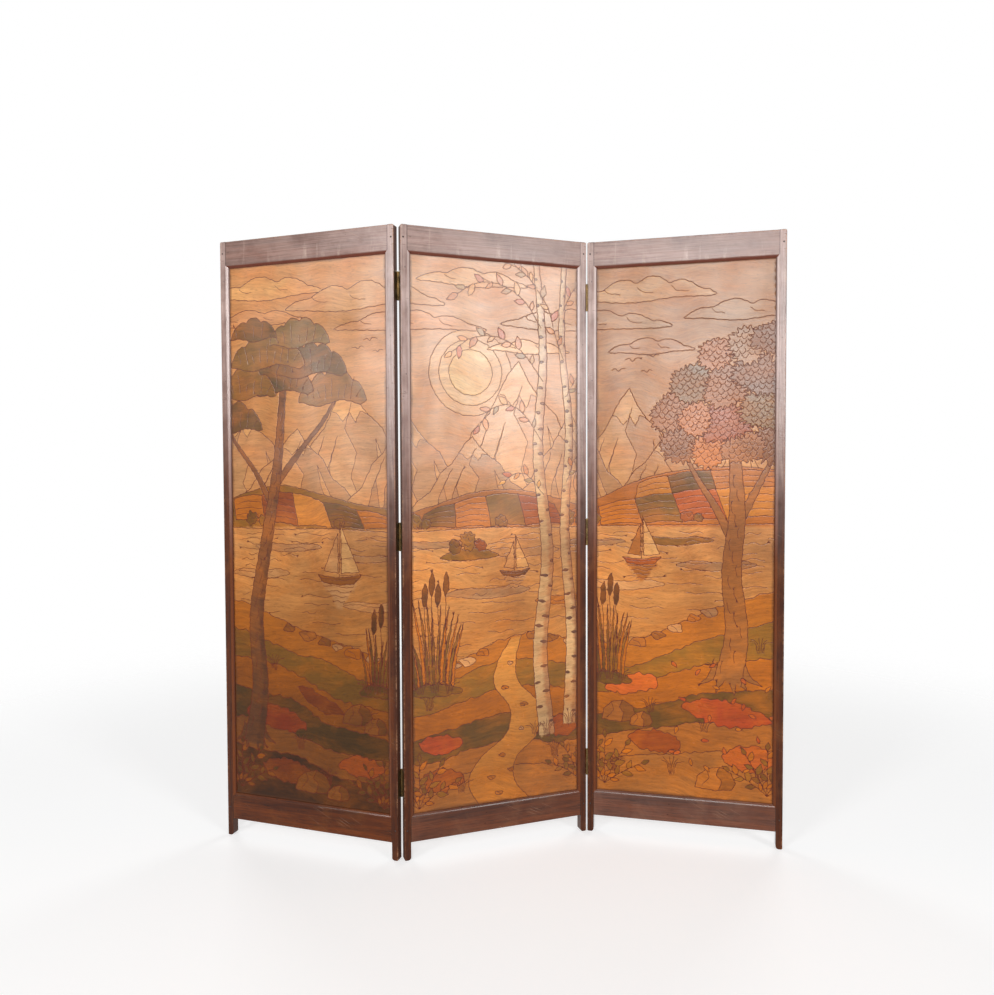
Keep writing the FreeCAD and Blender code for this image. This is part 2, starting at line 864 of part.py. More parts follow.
for (leaf, side), face in HINGED_STILES.items():
    fold = "left" if face == "back" else "right"
    own_slots = range(0, KNUCKLES, 2) if leaf == "middle" else range(1, KNUCKLES, 2)
    plate_side = "right" if side == "left" else "left"
    sign = -1 if leaf == "middle" else 1
    for height, level in HINGE_LEVELS.items():
        hinge = f"{fold}_fold_{height}_hinge"
        frame = hinge_frame(frames[leaf], side, face, level)
        stand(make_plate(f"{hinge}_{plate_side}_plate", sign, list(own_slots)), frame)
        if leaf == "middle":
            stand(make_hinge_pin(f"{hinge}_pin"), frame)
    screws = copies(f"{leaf}_leaf_{side}_hinge_screws", screw_pattern, screw_places(side, face))
    stand(screws, frames[leaf])

doc.recompute()


# Tests of the document, and the hand-over


def test_document():
    """Stop if a feature failed, a shape is not sound, or a cut removed nothing."""
    for item in doc.Objects:
        if "Invalid" in item.State or "Error" in item.State:
            raise RuntimeError(f"{item.Label} did not build: {item.State}")
        if item.TypeId == "PartDesign::Pocket" and item.Shape.Volume >= item.BaseFeature.Shape.Volume - 1e-6:
            raise RuntimeError(f"{item.Label} cuts nothing")
    for node in nodes:
        if node.Shape.isNull() or not node.Shape.isValid():
            raise RuntimeError(f"{node.Label} has no sound shape")


test_document()
os.makedirs(PARTS_FOLDER, exist_ok=True)
for node in nodes:
    node.Shape.exportStep(f"{PARTS_FOLDER}/{node.Label}.step")
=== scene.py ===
"""Looks of a wooden folding screen: dark frames, brass hinges, panels with a burnt and stained picture."""

import json
import math

import bpy
import numpy as np
from mathutils import Matrix, Vector
from mathutils.geometry import delaunay_2d_cdt
from mathutils.kdtree import KDTree


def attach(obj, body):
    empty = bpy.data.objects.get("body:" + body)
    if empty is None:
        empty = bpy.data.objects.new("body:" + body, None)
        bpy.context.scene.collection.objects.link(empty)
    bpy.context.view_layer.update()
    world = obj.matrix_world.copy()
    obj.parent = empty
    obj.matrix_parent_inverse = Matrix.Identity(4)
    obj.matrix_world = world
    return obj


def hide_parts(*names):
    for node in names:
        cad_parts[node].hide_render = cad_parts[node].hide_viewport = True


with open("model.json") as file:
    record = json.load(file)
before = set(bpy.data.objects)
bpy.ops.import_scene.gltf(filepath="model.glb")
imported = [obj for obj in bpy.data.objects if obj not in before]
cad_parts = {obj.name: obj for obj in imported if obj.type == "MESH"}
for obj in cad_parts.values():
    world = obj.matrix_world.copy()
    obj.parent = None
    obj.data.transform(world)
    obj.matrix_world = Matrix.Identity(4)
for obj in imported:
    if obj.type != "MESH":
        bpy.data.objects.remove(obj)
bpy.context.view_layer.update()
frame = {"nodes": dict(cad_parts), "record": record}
LEAVES = ("left", "middle", "right")
MM = 0.001


# The picture, in millimetres across and up from the low left corner of what shows of the first panel

STEP = 3.5
PANEL_PITCH = 544.0
PICTURE_LEFT = -20
PICTURE_RIGHT = 1600
GOLDEN = 0.618
ITEMS = []
RNG = np.random.default_rng(41)

# Weights of the finer lines; a full line has 1
MARK = 0.55
FINE = 0.6
THIN = 0.7
BLADE = 0.85

SKY = ((212, 140, 70), (206, 140, 80))
PALE = (220, 156, 90)
PEACH = (206, 138, 82)
CREAM = (228, 170, 104)
AMBER = (192, 106, 22)
HONEY = (206, 124, 38)
OCHRE = (180, 97, 18)
TAN = (168, 96, 34)
BROWN = (138, 78, 26)
UMBER = (92, 50, 14)
OLIVE = (134, 87, 24)
MOSS = (106, 69, 20)
SLATE = (178, 124, 78)
VIOLET = (200, 138, 82)
GREY = (206, 146, 90)
RUST = (148, 66, 18)
RED = (172, 66, 24)
CORAL = (192, 88, 30)


def hand(points):
    """The small unsteadiness of a line drawn by hand, the same for lines that share a place."""
    x, z = points[:, 0], points[:, 1]
    across = 0.7 * np.sin(0.19 * x + 0.11 * z) + 0.5 * np.sin(0.37 * z - 0.23 * x + 2.0)
    up = 0.7 * np.sin(0.17 * x - 0.21 * z + 1.0) + 0.5 * np.sin(0.41 * x + 0.29 * z)
    return points + pairs(across, up)


def pairs(x, z):
    return np.column_stack([x, z])


def placed(x, z, width, height, points):
    """The points of a motif, given as shares of its size, at their place in the picture."""
    return [(x + width * across, z + height * up) for across, up in points]


def each(motif, rows):
    for row in rows:
        motif(*row)


def scattered(k):
    """Shares from 0 to 1 that look unordered as k counts up."""
    return (k * GOLDEN) % 1.0


def even(points, closed=False, step=STEP):
    """The same line as evenly spaced points."""
    points = np.asarray(points, float)
    if closed:
        points = np.vstack([points, points[:1]])
    run = np.r_[0.0, np.cumsum(np.hypot(*np.diff(points, axis=0).T))]
    count = max(int(round(run[-1] / step)), 5)
    at = np.linspace(0.0, run[-1], count + 1)
    if closed:
        at = at[:-1]
    return pairs(np.interp(at, run, points[:, 0]), np.interp(at, run, points[:, 1]))


def curve(points, closed=False):
    """A smooth line through the points."""
    p = np.asarray(points, float)
    if closed:
        p = np.vstack([p[-1:], p, p[:2]])
    else:
        p = np.vstack([2 * p[0] - p[1], p, 2 * p[-1] - p[-2]])
    t = np.linspace(0.0, 1.0, 10, endpoint=False)[:, None]
    runs = []
    for a, b, c, d in zip(p[:-3], p[1:-2], p[2:-1], p[3:]):
        runs.append(b + 0.5 * t * (c - a + t * (2 * a - 5 * b + 4 * c - d + t * (3 * (b - c) + d - a))))
    if not closed:
        runs.append(p[-2:-1])
    return even(np.vstack(runs), closed)


def loop(points):
    """A closed outline with corners."""
    return even(points, closed=True)


def ring(points):
    """A closed outline without corners."""
    return curve(points, closed=True)


def fill(outline, tint):
    """Paint an area; no two areas take the stain quite alike."""
    outline = hand(np.asarray(outline, float))
    uneven = 1.0 + 0.05 * math.sin(outline[:, 0].mean() * 0.7 + outline[:, 1].mean() * 1.3)
    ITEMS.append(("fill", outline, np.atleast_2d(tint) * uneven))


def line(points, weight=1.0):
    ITEMS.append(("line", hand(np.asarray(points, float)), weight))


def shape(outline, tint, weight=1.0):
    fill(outline, tint)
    line(np.vstack([outline, outline[:1]]), weight)


def band(low, high, tint):
    """A level band right across the picture."""
    left, right = PICTURE_LEFT, PICTURE_RIGHT
    fill([(left, low), (right, low), (right, high), (left, high)], tint)


def limb(points, widths, tint, weight=1.0):
    """A trunk, branch or blade whose width changes along its length; returns its two sides."""
    mid = curve(points)
    along = np.gradient(mid, axis=0)
    along /= np.hypot(along[:, 0], along[:, 1])[:, None]
    side = pairs(-along[:, 1], along[:, 0])
    share = np.linspace(0, 1, len(mid))
    half = np.interp(share, np.linspace(0, 1, len(widths)), widths)[:, None] / 2
    left, right = mid + side * half, mid - side * half
    fill(np.vstack([left, right[::-1]]), tint)
    line(left, weight)
    line(right, weight)
    return left, right


def bark(left, right, start, count, low, spread, drift, bow):
    """Short upright marks between the two sides of a trunk."""
    for k in range(count):
        at = start + 10 * k
        if at + 8 < len(left):
            s = low + spread * scattered(k)
            a = left[at] + (right[at] - left[at]) * s
            b = left[at + 8] + (right[at + 8] - left[at + 8]) * (s + drift)
            line(curve([a, (a + b) / 2 + (bow, 0), b]), THIN)


def cloud(left, right, low, height, swells, tint):
    """A long low bank of cloud."""
    wide = right - left
    t = np.linspace(0.03, 0.97, 7 * swells)
    swell = 0.66 + 0.34 * np.abs(np.sin(math.pi * swells * t ** 1.15 + 0.4 * swells)) ** 0.8
    top = pairs(left + wide * t, low + height * np.sin(math.pi * t) ** 0.7 * swell)
    s = np.linspace(0.95, 0.05, 2 * swells + 3)
    dip = 0.20 * height * np.sin(math.pi * s) * (0.5 + 0.5 * np.cos(7 * s + swells))
    bottom = pairs(left + wide * s, low - dip)
    shape(ring(np.vstack([[[left, low + 2]], top, [[right, low + 3]], bottom])), tint)
    for k in range(swells - 1):
        a = left + wide * (k + 0.8) / swells
        line(curve(placed(a, low, height, height, ((-0.11, 0.46), (0.1, 0.30), (0.55, 0.24)))), FINE)


def mountain(left, peak, right, base, tint, shade, cap):
    """A peak with a lit side, a shaded side, spurs and a pale top."""
    west, east = peak[0] - left, right - peak[0]
    rise = peak[1] - base

    def spots(*shares):
        return [(peak[0] + a * (east if a > 0 else west), base + up * rise) for a, up in shares]

    def facet(points, colour):
        fill(loop(points), colour)
        line(even(points[:3]), THIN)
        line(even([points[0], points[4], points[3]]), THIN)

    rim = spots(
        (-1, 0), (-0.80, 0.20), (-0.62, 0.31), (-0.46, 0.55), (-0.30, 0.66), (-0.12, 0.90), (0, 1),
        (0.10, 0.87), (0.22, 0.76), (0.38, 0.66), (0.52, 0.44), (0.70, 0.33), (1, 0),
    )
    crest = spots((0, 1), (0.03, 0.84), (-0.05, 0.66), (0.09, 0.48), (0.02, 0.30), (0.20, 0))
    snow = spots(
        (0.22, 0.76), (0.13, 0.79), (0.08, 0.70), (0.01, 0.78), (-0.07, 0.71), (-0.15, 0.78), (-0.20, 0.79),
    )
    fill(loop(rim), tint)
    fill(loop(crest + rim[:6:-1]), shade)
    fill(loop(rim[5:8] + snow), cap)
    for top, middle, foot, back in ((-0.30, -0.42, -0.34, -0.56), (-0.14, -0.24, -0.13, -0.32)):
        facet(spots((top, 0.60), (middle, 0.38), (foot, 0.0), (back, 0.0), (middle - 0.05, 0.30)), shade)
    facet(spots((0.30, 0.58), (0.34, 0.36), (0.52, 0.0), (0.66, 0.0), (0.46, 0.30)), tint)
    line(even(snow), THIN)
    line(even(rim))
    line(even(crest[1:]), 0.8)


def ragged(points, amount=3.2, closed=False):
    """A line through the points that is broken up like the edge of rough ground."""
    rough = curve(points, closed)[:: 3 if closed else 4]
    if not closed:
        rough = np.vstack([rough, np.asarray(points[-1:], float)])
    return curve(rough + RNG.uniform(-amount, amount, rough.shape), closed)


def bluff(points, tint, low, rough=0.0):
    """Ground from a line that runs left to right down to a level."""
    top = ragged(points, rough) if rough else curve(points)
    fill(np.vstack([top, [[top[-1, 0], low], [top[0, 0], low]]]), tint)
    line(top)


def field(corners, tint, rows):
    """One field: four corners, lower left first and anticlockwise, with sown rows between its sides."""
    a, b, c, d = (np.array(p, float) for p in corners)
    bow = np.array([0.0, 5.0])
    low = curve([a, (a + b) / 2 + bow, b])
    high = curve([d, (c + d) / 2 + bow, c])
    shape(np.vstack([low, even([b, c])[1:-1], high[::-1], even([d, a])[1:-1]]), tint)
    for k in range(1, rows + 1):
        s = k / (rows + 1)
        p, q = a + (d - a) * s, b + (c - b) * s
        line(curve([p + (q - p) * 0.06, (p + q) / 2 + bow, p + (q - p) * 0.94]), FINE)


def bush(x, z, radius, tint, squash=1.0):
    """A clump of leaves with a leafy edge and a few leaf marks within."""
    points = max(int(radius / 2.6), 7)
    a = np.arange(2 * points) * math.pi / points + RNG.uniform(-0.06, 0.06, 2 * points)
    r = radius * np.where(np.arange(2 * points) % 2, 0.82, 1.0) * RNG.uniform(0.93, 1.07, 2 * points)
    r *= 1 + 0.1 * np.sin(2 * a + x) + 0.06 * np.sin(3 * a - z)
    shape(ring(pairs(x + r * np.cos(a), z + squash * r * np.sin(a))), tint, 0.9)
    marks = radius * radius / 150
    w = 4.5 + 0.05 * radius
    for k in range(int(marks)):
        b = 2.4 * k
        r = 0.78 * radius * math.sqrt((k + 0.5) / marks)
        mx, mz = x + r * math.cos(b), z + squash * r * math.sin(b)
        line(curve(placed(mx, mz, w, w, ((-1, 0.5), (-0.3, -0.35), (0.5, -0.1), (1, 0.7)))), MARK)


def pad(x, z, width, height, lobes, tint):
    """A flat cushion of needles: a nearly level underside and a lobed top."""
    t = np.linspace(0, 1, 16 * lobes)
    bump = 0.80 + 0.20 * np.abs(np.sin(math.pi * lobes * t)) ** 0.7
    top = pairs(x + width * (0.5 - t), z + height * np.sin(math.pi * t) ** 0.55 * bump)
    s = np.linspace(-0.5, 0.5, 14)[1:-1]
    low = pairs(x + width * s, z + 0.09 * height * np.cos(9 * s + lobes) - 0.05 * height)
    shape(loop(np.vstack([top, low])), tint)
    for k in range(2 * lobes - 1):
        foot = x + width * (0.36 - 0.72 * k / (2 * lobes - 2))
        rise = height * (0.24 + 0.16 * ((k * 5) % 3))
        lean = 0.16 * (foot - x)
        base = z + 0.1 * height
        tip = (foot + lean, base + rise)
        line(curve([(foot, z + 0.14 * height), (foot + 0.4 * lean, base + 0.6 * rise), tip]), MARK)


def leaflet(x, z, length, angle, tint):
    """One pointed leaf."""
    t = np.linspace(0, 1, 9)
    w = 0.23 * length * np.sin(math.pi * t ** 0.8)
    along, off = np.array([math.cos(angle), math.sin(angle)]), np.array([-math.sin(angle), math.cos(angle)])
    mid = np.array([x, z]) + np.outer(t * length, along)
    side = np.outer(w, off)
    shape(loop(np.vstack([mid + side, (mid - side)[-2:0:-1]])), tint, BLADE)


def spray(points, count, length, tints):
    """A thin twig with leaves along it on both sides."""
    mid = curve(points)
    line(mid, 0.8)
    along = np.gradient(mid, axis=0)
    for k in range(count):
        at = int((0.18 + 0.82 * k / max(count - 1, 1)) * (len(mid) - 1))
        angle = math.atan2(along[at, 1], along[at, 0])
        side = 0.75 if k % 2 else -0.75
        if k == count - 1:
            side = 0.0
        size = length * (0.8 + 0.3 * ((k * 7) % 5) / 4)
        leaflet(mid[at, 0], mid[at, 1], size, angle + side, tints[(k * 3 + count) % len(tints)])


def stone(x, z, width, height, tint, turn):
    a = np.linspace(0, 2 * math.pi, 7, endpoint=False) + turn
    r = 0.82 + 0.18 * np.sin(3.0 * a + 4.0 * turn)
    shape(ring(pairs(x + width / 2 * r * np.cos(a), z + height / 2 * r * np.sin(a))), tint)
    line(curve(placed(x, z, width, height, ((-0.22, 0.16), (0, 0.02), (0.10, -0.26)))), FINE)


def boat(x, z, size, hull, sail, shade):
    """A small boat under two sails, with its broken reflection."""
    def at(*points):
        return placed(x, z, size, size, points)

    fill(ring(at((-50, -4), (0, -12), (52, -3), (30, -34), (2, -72), (-22, -38))), shade)
    for k in range(4):
        w, low = 42 - 9 * k, -13 * k
        line(curve(at((-w, low - 16), (-0.3 * w, low - 13), (0.3 * w, low - 18), (w, low - 15))), THIN)
    line(even(at((2, 8), (4, 150))))
    shape(loop(at((8, 20), (60, 24), (44, 62), (24, 104), (7, 144))), sail)
    shape(loop(at((-2, 20), (-44, 24), (-30, 60), (-2, 124))), shade)
    line(even(at((10, 58), (43, 60))), FINE)
    line(even(at((9, 96), (26, 98))), FINE)
    rail, keel = curve(at((-62, 14), (0, 8), (66, 17))), curve(at((44, -7), (0, -11), (-46, -6)))
    shape(loop(np.vstack([rail, keel])), hull)
    line(curve(at((-55, 6), (0, 1), (58, 8))), FINE)


def reeds(x, z, spread, height, count, heads):
    """A clump of long blades with a few seed heads."""
    for k in range(count):
        s = scattered(k) - 0.5
        foot = x + spread * s
        tall = height * (0.62 + 0.38 * ((k * 7) % 5) / 4)
        bend = spread * (0.55 * s + 0.16 * math.sin(2.4 * k))
        blade = [(foot, z), (foot + 0.25 * bend, z + 0.45 * tall), (foot + bend, z + tall)]
        limb(blade, [7, 9, 6, 0.5], (OLIVE, MOSS, OCHRE)[k % 3], BLADE)
    for k in range(heads):
        foot = x + spread * (0.7 * (k + 0.5) / heads - 0.35)
        tip = (foot + 6 * math.sin(3 * k), z + height * (0.92 + 0.12 * (k % 2)))
        line(curve([(foot, z + 0.2 * height), (foot + 3, z + 0.6 * height), tip]), 0.9)
        limb([tip, (tip[0] + 2, tip[1] + 30), (tip[0] + 3, tip[1] + 62)], [4, 15, 15, 14, 3], UMBER)


def tussock(x, z, height, count):
    """A tuft of grass."""
    for k in range(count):
        s = k / (count - 1) - 0.5
        tip = (x + (52 + 14 * (k % 2)) * s, z + height * (1 - 0.5 * abs(s)))
        line(curve([(x + 16 * s, z), (x + 26 * s, z + 0.6 * height), tip]), BLADE)


def roots(x, z, reach, tint):
    """The spreading foot of a tree."""
    for side, drop, width in (
        (-1.0, 0.34, 0.5), (-0.45, 0.62, 0.55), (0.2, 0.66, 0.55), (0.62, 0.5, 0.5), (1.1, 0.3, 0.45),
    ):
        knee = (x + 0.62 * reach * side, z - 0.25 * reach * drop)
        toe = (x + reach * side, z - reach * drop)
        widths = [width * reach, 0.5 * width * reach, 2]
        limb([(x + 0.3 * reach * side, z + 0.42 * reach), knee, toe], widths, tint)


def mound(x, z, width, height, tint):
    """A low rise of ground with grass on it."""
    rise = ((-0.5, 0), (-0.3, 0.7), (0, 1), (0.28, 0.72), (0.5, 0), (0.2, -0.35), (-0.22, -0.3))
    shape(ragged(placed(x, z, width, height, rise), 2.6, closed=True), tint)
    for k in range(3):
        tussock(x + width * (0.26 * k - 0.26), z + 0.12 * height, 30 + 6 * (k % 2), 5)


def rock(x, z, width, height):
    """A boulder with a lit top and a shaded side."""
    def at(*points):
        return placed(x, z, width, height, points)

    rim = at((-0.5, 0), (-0.44, 0.5), (-0.2, 0.88), (0.12, 1), (0.4, 0.74), (0.5, 0.3), (0.42, 0), (0, -0.1))
    shape(loop(rim), TAN)
    shape(loop(rim[3:7] + at((0.1, -0.08), (0.16, 0.36), (0.02, 0.62))), BROWN)
    line(even(at((-0.2, 0.88), (-0.14, 0.5), (-0.3, 0.14))), THIN)


def sky():
    band(700, 1530, SKY)
    a = np.linspace(0, 2 * math.pi, 80, endpoint=False)
    for radius, tint in ((118, PALE), (90, CREAM), (62, (234, 180, 104))):
        shape(loop(pairs(712 + radius * np.cos(a), 1196 + radius * np.sin(a))), tint, 0.8)
    each(cloud, (
        (-60, 300, 1416, 56, 3, PALE), (180, 640, 1372, 66, 4, GREY), (330, 760, 1310, 46, 4, PEACH),
        (-90, 250, 1340, 42, 3, PEACH), (560, 880, 1436, 44, 3, PALE), (800, 1300, 1330, 58, 5, GREY),
        (760, 1010, 1260, 34, 3, PALE), (1040, 1420, 1412, 62, 4, PALE), (1120, 1360, 1262, 40, 3, PEACH),
        (1330, 1640, 1350, 50, 3, GREY),
    ))
    bird = ((-1, 0.30), (-0.5, 0.42), (0, 0), (0.45, 0.46), (1, 0.38))
    for x, z, span in (
        (1150, 1210, 16), (1190, 1236, 20), (1228, 1204, 14), (1246, 1246, 15),
        (402, 1256, 15), (438, 1276, 18), (462, 1246, 12),
    ):
        line(curve(placed(x, z, span, span, bird)), 0.9)


def mountains():
    far = (GREY, VIOLET, PALE)
    near = (VIOLET, SLATE, GREY)
    for left, peak, right, tints in (
        (-260, (30, 1118), 300, far), (120, (372, 1168), 640, far), (560, (852, 1232), 1150, far),
        (940, (1180, 1160), 1400, far), (1200, (1420, 1128), 1700, far),
        (-40, (214, 1046), 420, near), (330, (540, 1070), 760, near), (520, (716, 1022), 930, near),
        (800, (1014, 1088), 1210, near), (1080, (1290, 1030), 1480, near),
    ):
        mountain(left, peak, right, 800, *tints)


def hills():
    bluff([(-20, 846), (60, 872), (160, 890), (280, 866), (400, 838), (520, 822), (620, 800)], OLIVE, 700)
    bluff([(480, 800), (600, 832), (720, 868), (850, 874), (980, 846), (1080, 812)], TAN, 700)
    bluff([(960, 790), (1090, 846), (1220, 904), (1350, 930), (1480, 936), (1610, 924)], OCHRE, 700)
    for low, high, crops in (
        (
            ((10, 790), (104, 784), (212, 776), (318, 772), (418, 770), (520, 770)),
            ((4, 850), (96, 862), (196, 868), (292, 842), (392, 822), (486, 806)),
            ((AMBER, 3), (RUST, 4), (HONEY, 0), (MOSS, 3), (AMBER, 2)),
        ), (
            ((560, 772), (668, 772), (770, 772), (872, 774), (990, 776)),
            ((580, 812), (664, 838), (754, 858), (850, 862), (960, 832)),
            ((MOSS, 3), (AMBER, 4), (OLIVE, 0), (RUST, 3)),
        ), (
            ((1100, 770), (1218, 776), (1330, 782), (1450, 790), (1600, 800)),
            ((1092, 822), (1196, 846), (1300, 862), (1418, 874), (1600, 880)),
            ((AMBER, 4), (OLIVE, 3), (CORAL, 4), (HONEY, 3)),
        ), (
            ((1196, 846), (1300, 862), (1418, 874), (1600, 880)),
            ((1206, 890), (1288, 912), (1404, 926), (1600, 920)),
            ((HONEY, 2), (MOSS, 2), (TAN, 2)),
        ),
    ):
        for k, (tint, rows) in enumerate(crops):
            field((low[k], low[k + 1], high[k + 1], high[k]), tint, rows)
    each(bush, (
        (62, 796, 20, MOSS), (98, 790, 15, OLIVE), (340, 786, 17, MOSS), (552, 790, 22, OLIVE),
        (584, 784, 15, MOSS), (800, 788, 19, MOSS), (1004, 792, 24, OLIVE), (1042, 786, 18, MOSS),
        (1076, 790, 22, OLIVE), (1340, 798, 18, RUST), (1372, 794, 14, MOSS),
    ))


def lake():
    band(300, 770, ((190, 116, 44), (216, 148, 84)))
    line(curve([
        (-20, 770), (140, 766), (320, 770), (520, 764), (760, 771), (980, 766), (1200, 771), (1420, 776),
        (1610, 780),
    ]))
    pool = (
        (-0.5, 0), (-0.28, 0.42), (0.05, 0.3), (0.3, 0.5),
        (0.5, 0.1), (0.24, -0.34), (-0.06, -0.5), (-0.3, -0.3),
    )
    for x, z, w, h, tint in (
        (180, 716, 210, 26, SLATE), (420, 690, 180, 22, GREY), (90, 640, 190, 30, VIOLET),
        (610, 728, 220, 22, SLATE), (860, 700, 230, 30, VIOLET), (1080, 722, 180, 22, SLATE),
        (1300, 728, 230, 26, OLIVE), (1160, 600, 240, 32, GREY), (760, 590, 250, 34, SLATE),
        (440, 560, 190, 30, VIOLET), (1420, 660, 220, 30, SLATE), (980, 560, 160, 30, TAN),
    ):
        shape(ring(placed(x, z, w, h, pool)), tint, THIN)
    t = np.linspace(0, 1, 6)
    row = 752.0
    while row > 400:
        x = -10 + 90 * RNG.random()
        while x < 1590:
            reach = 36 + 90 * RNG.random()
            lift = 1.6 + 2.2 * RNG.random()
            level = row + 6 * (RNG.random() - 0.5)
            line(curve(pairs(x + reach * t, level + lift * np.sin(7.5 * t + x))), 0.62)
            x += reach + 40 + 170 * RNG.random()
        row -= 12 + (760 - row) * 0.065
    shape(ring([(622, 690), (660, 708), (704, 716), (752, 710), (792, 692), (742, 684), (680, 682)]), OLIVE)
    each(bush, ((664, 720, 20, MOSS), (702, 736, 26, OLIVE), (738, 722, 18, RUST)))
    boat(338, 628, 1.05, BROWN, CREAM, GREY)
    boat(838, 640, 0.72, UMBER, PALE, VIOLET)
    boat(1214, 668, 0.86, RUST, CREAM, TAN)


# Layers of ground from the far shore to the front, each as its upper edge and its stain
STRATA = (
    ([
        (-20, 566), (60, 548), (150, 512), (262, 474), (372, 446), (486, 410), (600, 392), (690, 410),
        (790, 452), (900, 470), (1000, 448), (1110, 424), (1220, 446), (1330, 498), (1450, 552), (1610, 604),
    ], ((164, 90, 20), (192, 110, 30))),
    ([
        (-20, 488), (80, 462), (190, 420), (300, 402), (420, 350), (540, 330), (650, 352), (760, 390),
        (880, 396), (1000, 372), (1120, 352), (1240, 384), (1360, 440), (1480, 478), (1610, 520),
    ], OLIVE),
    ([
        (-20, 398), (100, 392), (220, 352), (330, 300), (450, 282), (560, 262), (680, 290), (800, 318),
        (930, 316), (1060, 290), (1180, 300), (1300, 352), (1420, 384), (1610, 412),
    ], OCHRE),
    ([
        (-20, 330), (70, 300), (190, 288), (290, 232), (400, 214), (520, 196), (640, 216), (780, 246),
        (900, 236), (1030, 214), (1160, 236), (1290, 270), (1400, 300), (1610, 322),
    ], MOSS),
    ([
        (-20, 226), (110, 222), (220, 180), (340, 150), (470, 142), (590, 130), (720, 160), (850, 170),
        (980, 146), (1110, 164), (1250, 190), (1380, 214), (1610, 232),
    ], TAN),
    ([
        (520, 60), (580, 66), (710, 92), (860, 98), (1000, 78), (1130, 96), (1270, 116), (1400, 132),
        (1610, 150),
    ], (170, 102, 42)),
    ([(-20, 150), (90, 132), (200, 128), (320, 84), (450, 76), (520, 60)], UMBER),
)


def ground():
    for points, tint in STRATA:
        bluff(points, tint, -30, 3.4)
    banks = [curve(points) for points in (
        [(742, -20), (700, 60), (736, 130), (812, 190), (822, 262), (776, 330), (790, 400), (826, 456)],
        [(858, 462), (842, 400), (850, 334), (912, 262), (906, 180), (842, 118), (838, 50), (900, -20)],
    )]
    fill(np.vstack(banks), ((182, 106, 32), (212, 140, 62)))
    for bank in banks:
        line(bank)
    slabs = ((768, 70), (800, 130), (858, 200), (866, 268), (808, 320), (824, 388), (790, 24), (826, 86))
    for k, (x, z) in enumerate(slabs):
        stone(x, z, 30 - 5 * (k % 3), 13, (TAN, OCHRE, VIOLET)[k % 3], 1.3 * k)
    for points, tint in (
        ([(40, 250), (110, 268), (190, 250), (232, 212), (180, 196), (110, 206), (60, 220)], RED),
        ([(210, 330), (290, 300), (352, 262), (300, 256), (240, 282)], RUST),
        ([(330, 120), (400, 148), (470, 120), (440, 92), (372, 94)], CORAL),
        ([(90, 96), (170, 116), (250, 80), (190, 52), (120, 60)], RUST),
        ([(560, 190), (620, 206), (684, 182), (640, 152), (584, 158)], RED),
        ([(570, 96), (640, 112), (690, 76), (630, 48), (576, 60)], RUST),
        ([(930, 206), (980, 226), (1030, 196), (1000, 164), (946, 172)], RUST),
        ([(1110, 300), (1180, 286), (1262, 316), (1230, 346), (1150, 332)], CORAL),
        ([(1330, 260), (1420, 286), (1510, 262), (1570, 226), (1480, 206), (1390, 222)], RED),
        ([(1180, 170), (1260, 186), (1330, 152), (1280, 122), (1210, 132)], RUST),
        ([(1440, 130), (1520, 158), (1590, 120), (1540, 86), (1470, 92)], CORAL),
    ):
        shape(ragged(points, 4.5, closed=True), tint)


def shore():
    for k, place in enumerate((
        (240, 470, 62, 34), (292, 456, 48, 28), (330, 444, 40, 24), (380, 430, 66, 36),
        (436, 418, 46, 26), (474, 404, 40, 24), (180, 488, 44, 26), (700, 402, 58, 32),
        (744, 424, 44, 26), (664, 392, 40, 22), (900, 462, 60, 34), (950, 450, 44, 26),
        (1010, 436, 50, 28), (1108, 418, 54, 32), (1156, 424, 44, 26), (1206, 436, 62, 34),
        (1262, 458, 46, 28), (1310, 480, 54, 30), (1360, 510, 44, 26), (1404, 528, 58, 30),
    )):
        stone(*place, (TAN, BROWN, VIOLET, OCHRE, SLATE)[k % 5], 0.9 * k)
    each(tussock, (
        (130, 372, 40, 6), (60, 200, 46, 7), (420, 240, 42, 6), (300, 60, 44, 7), (450, 24, 40, 6),
        (30, 60, 46, 6), (590, 280, 44, 7), (960, 110, 46, 7), (1010, 290, 42, 6), (680, 40, 40, 6),
        (1140, 60, 48, 7), (1300, 66, 44, 6), (1420, 350, 44, 7), (1240, 236, 42, 6), (1540, 60, 46, 6),
        (1540, 420, 42, 6), (214, 150, 40, 6), (1390, 190, 36, 5),
    ))
    for x, z, spread, tall, count, heads in (
        (606, 330, 110, 250, 15, 4), (1124, 330, 84, 230, 12, 3), (452, 330, 60, 170, 8, 2),
    ):
        reeds(x, z, spread, tall, count, heads)
        mound(x, z - 8, spread + 50, 26, MOSS)
    each(rock, (
        (392, 236, 92, 56), (446, 214, 70, 44), (1150, 208, 96, 58), (1214, 196, 64, 40),
        (250, 34, 110, 60), (330, 20, 70, 40), (1420, 30, 110, 62),
    ))
    for x, z, size in (
        (560, 10, 44), (1040, 30, 40), (1110, 20, 46), (20, 20, 44), (470, 10, 40), (1560, 20, 44),
    ):
        for k in range(5):
            a = 0.5 + 0.53 * k
            tip = (x + 2.6 * size * math.cos(a), z + 2.9 * size * math.sin(a))
            middle = ((x + tip[0]) / 2, (z + tip[1]) / 2 + 6)
            spray([(x, z), middle, tip], 6, 0.72 * size, (OLIVE, MOSS, OCHRE, OLIVE))


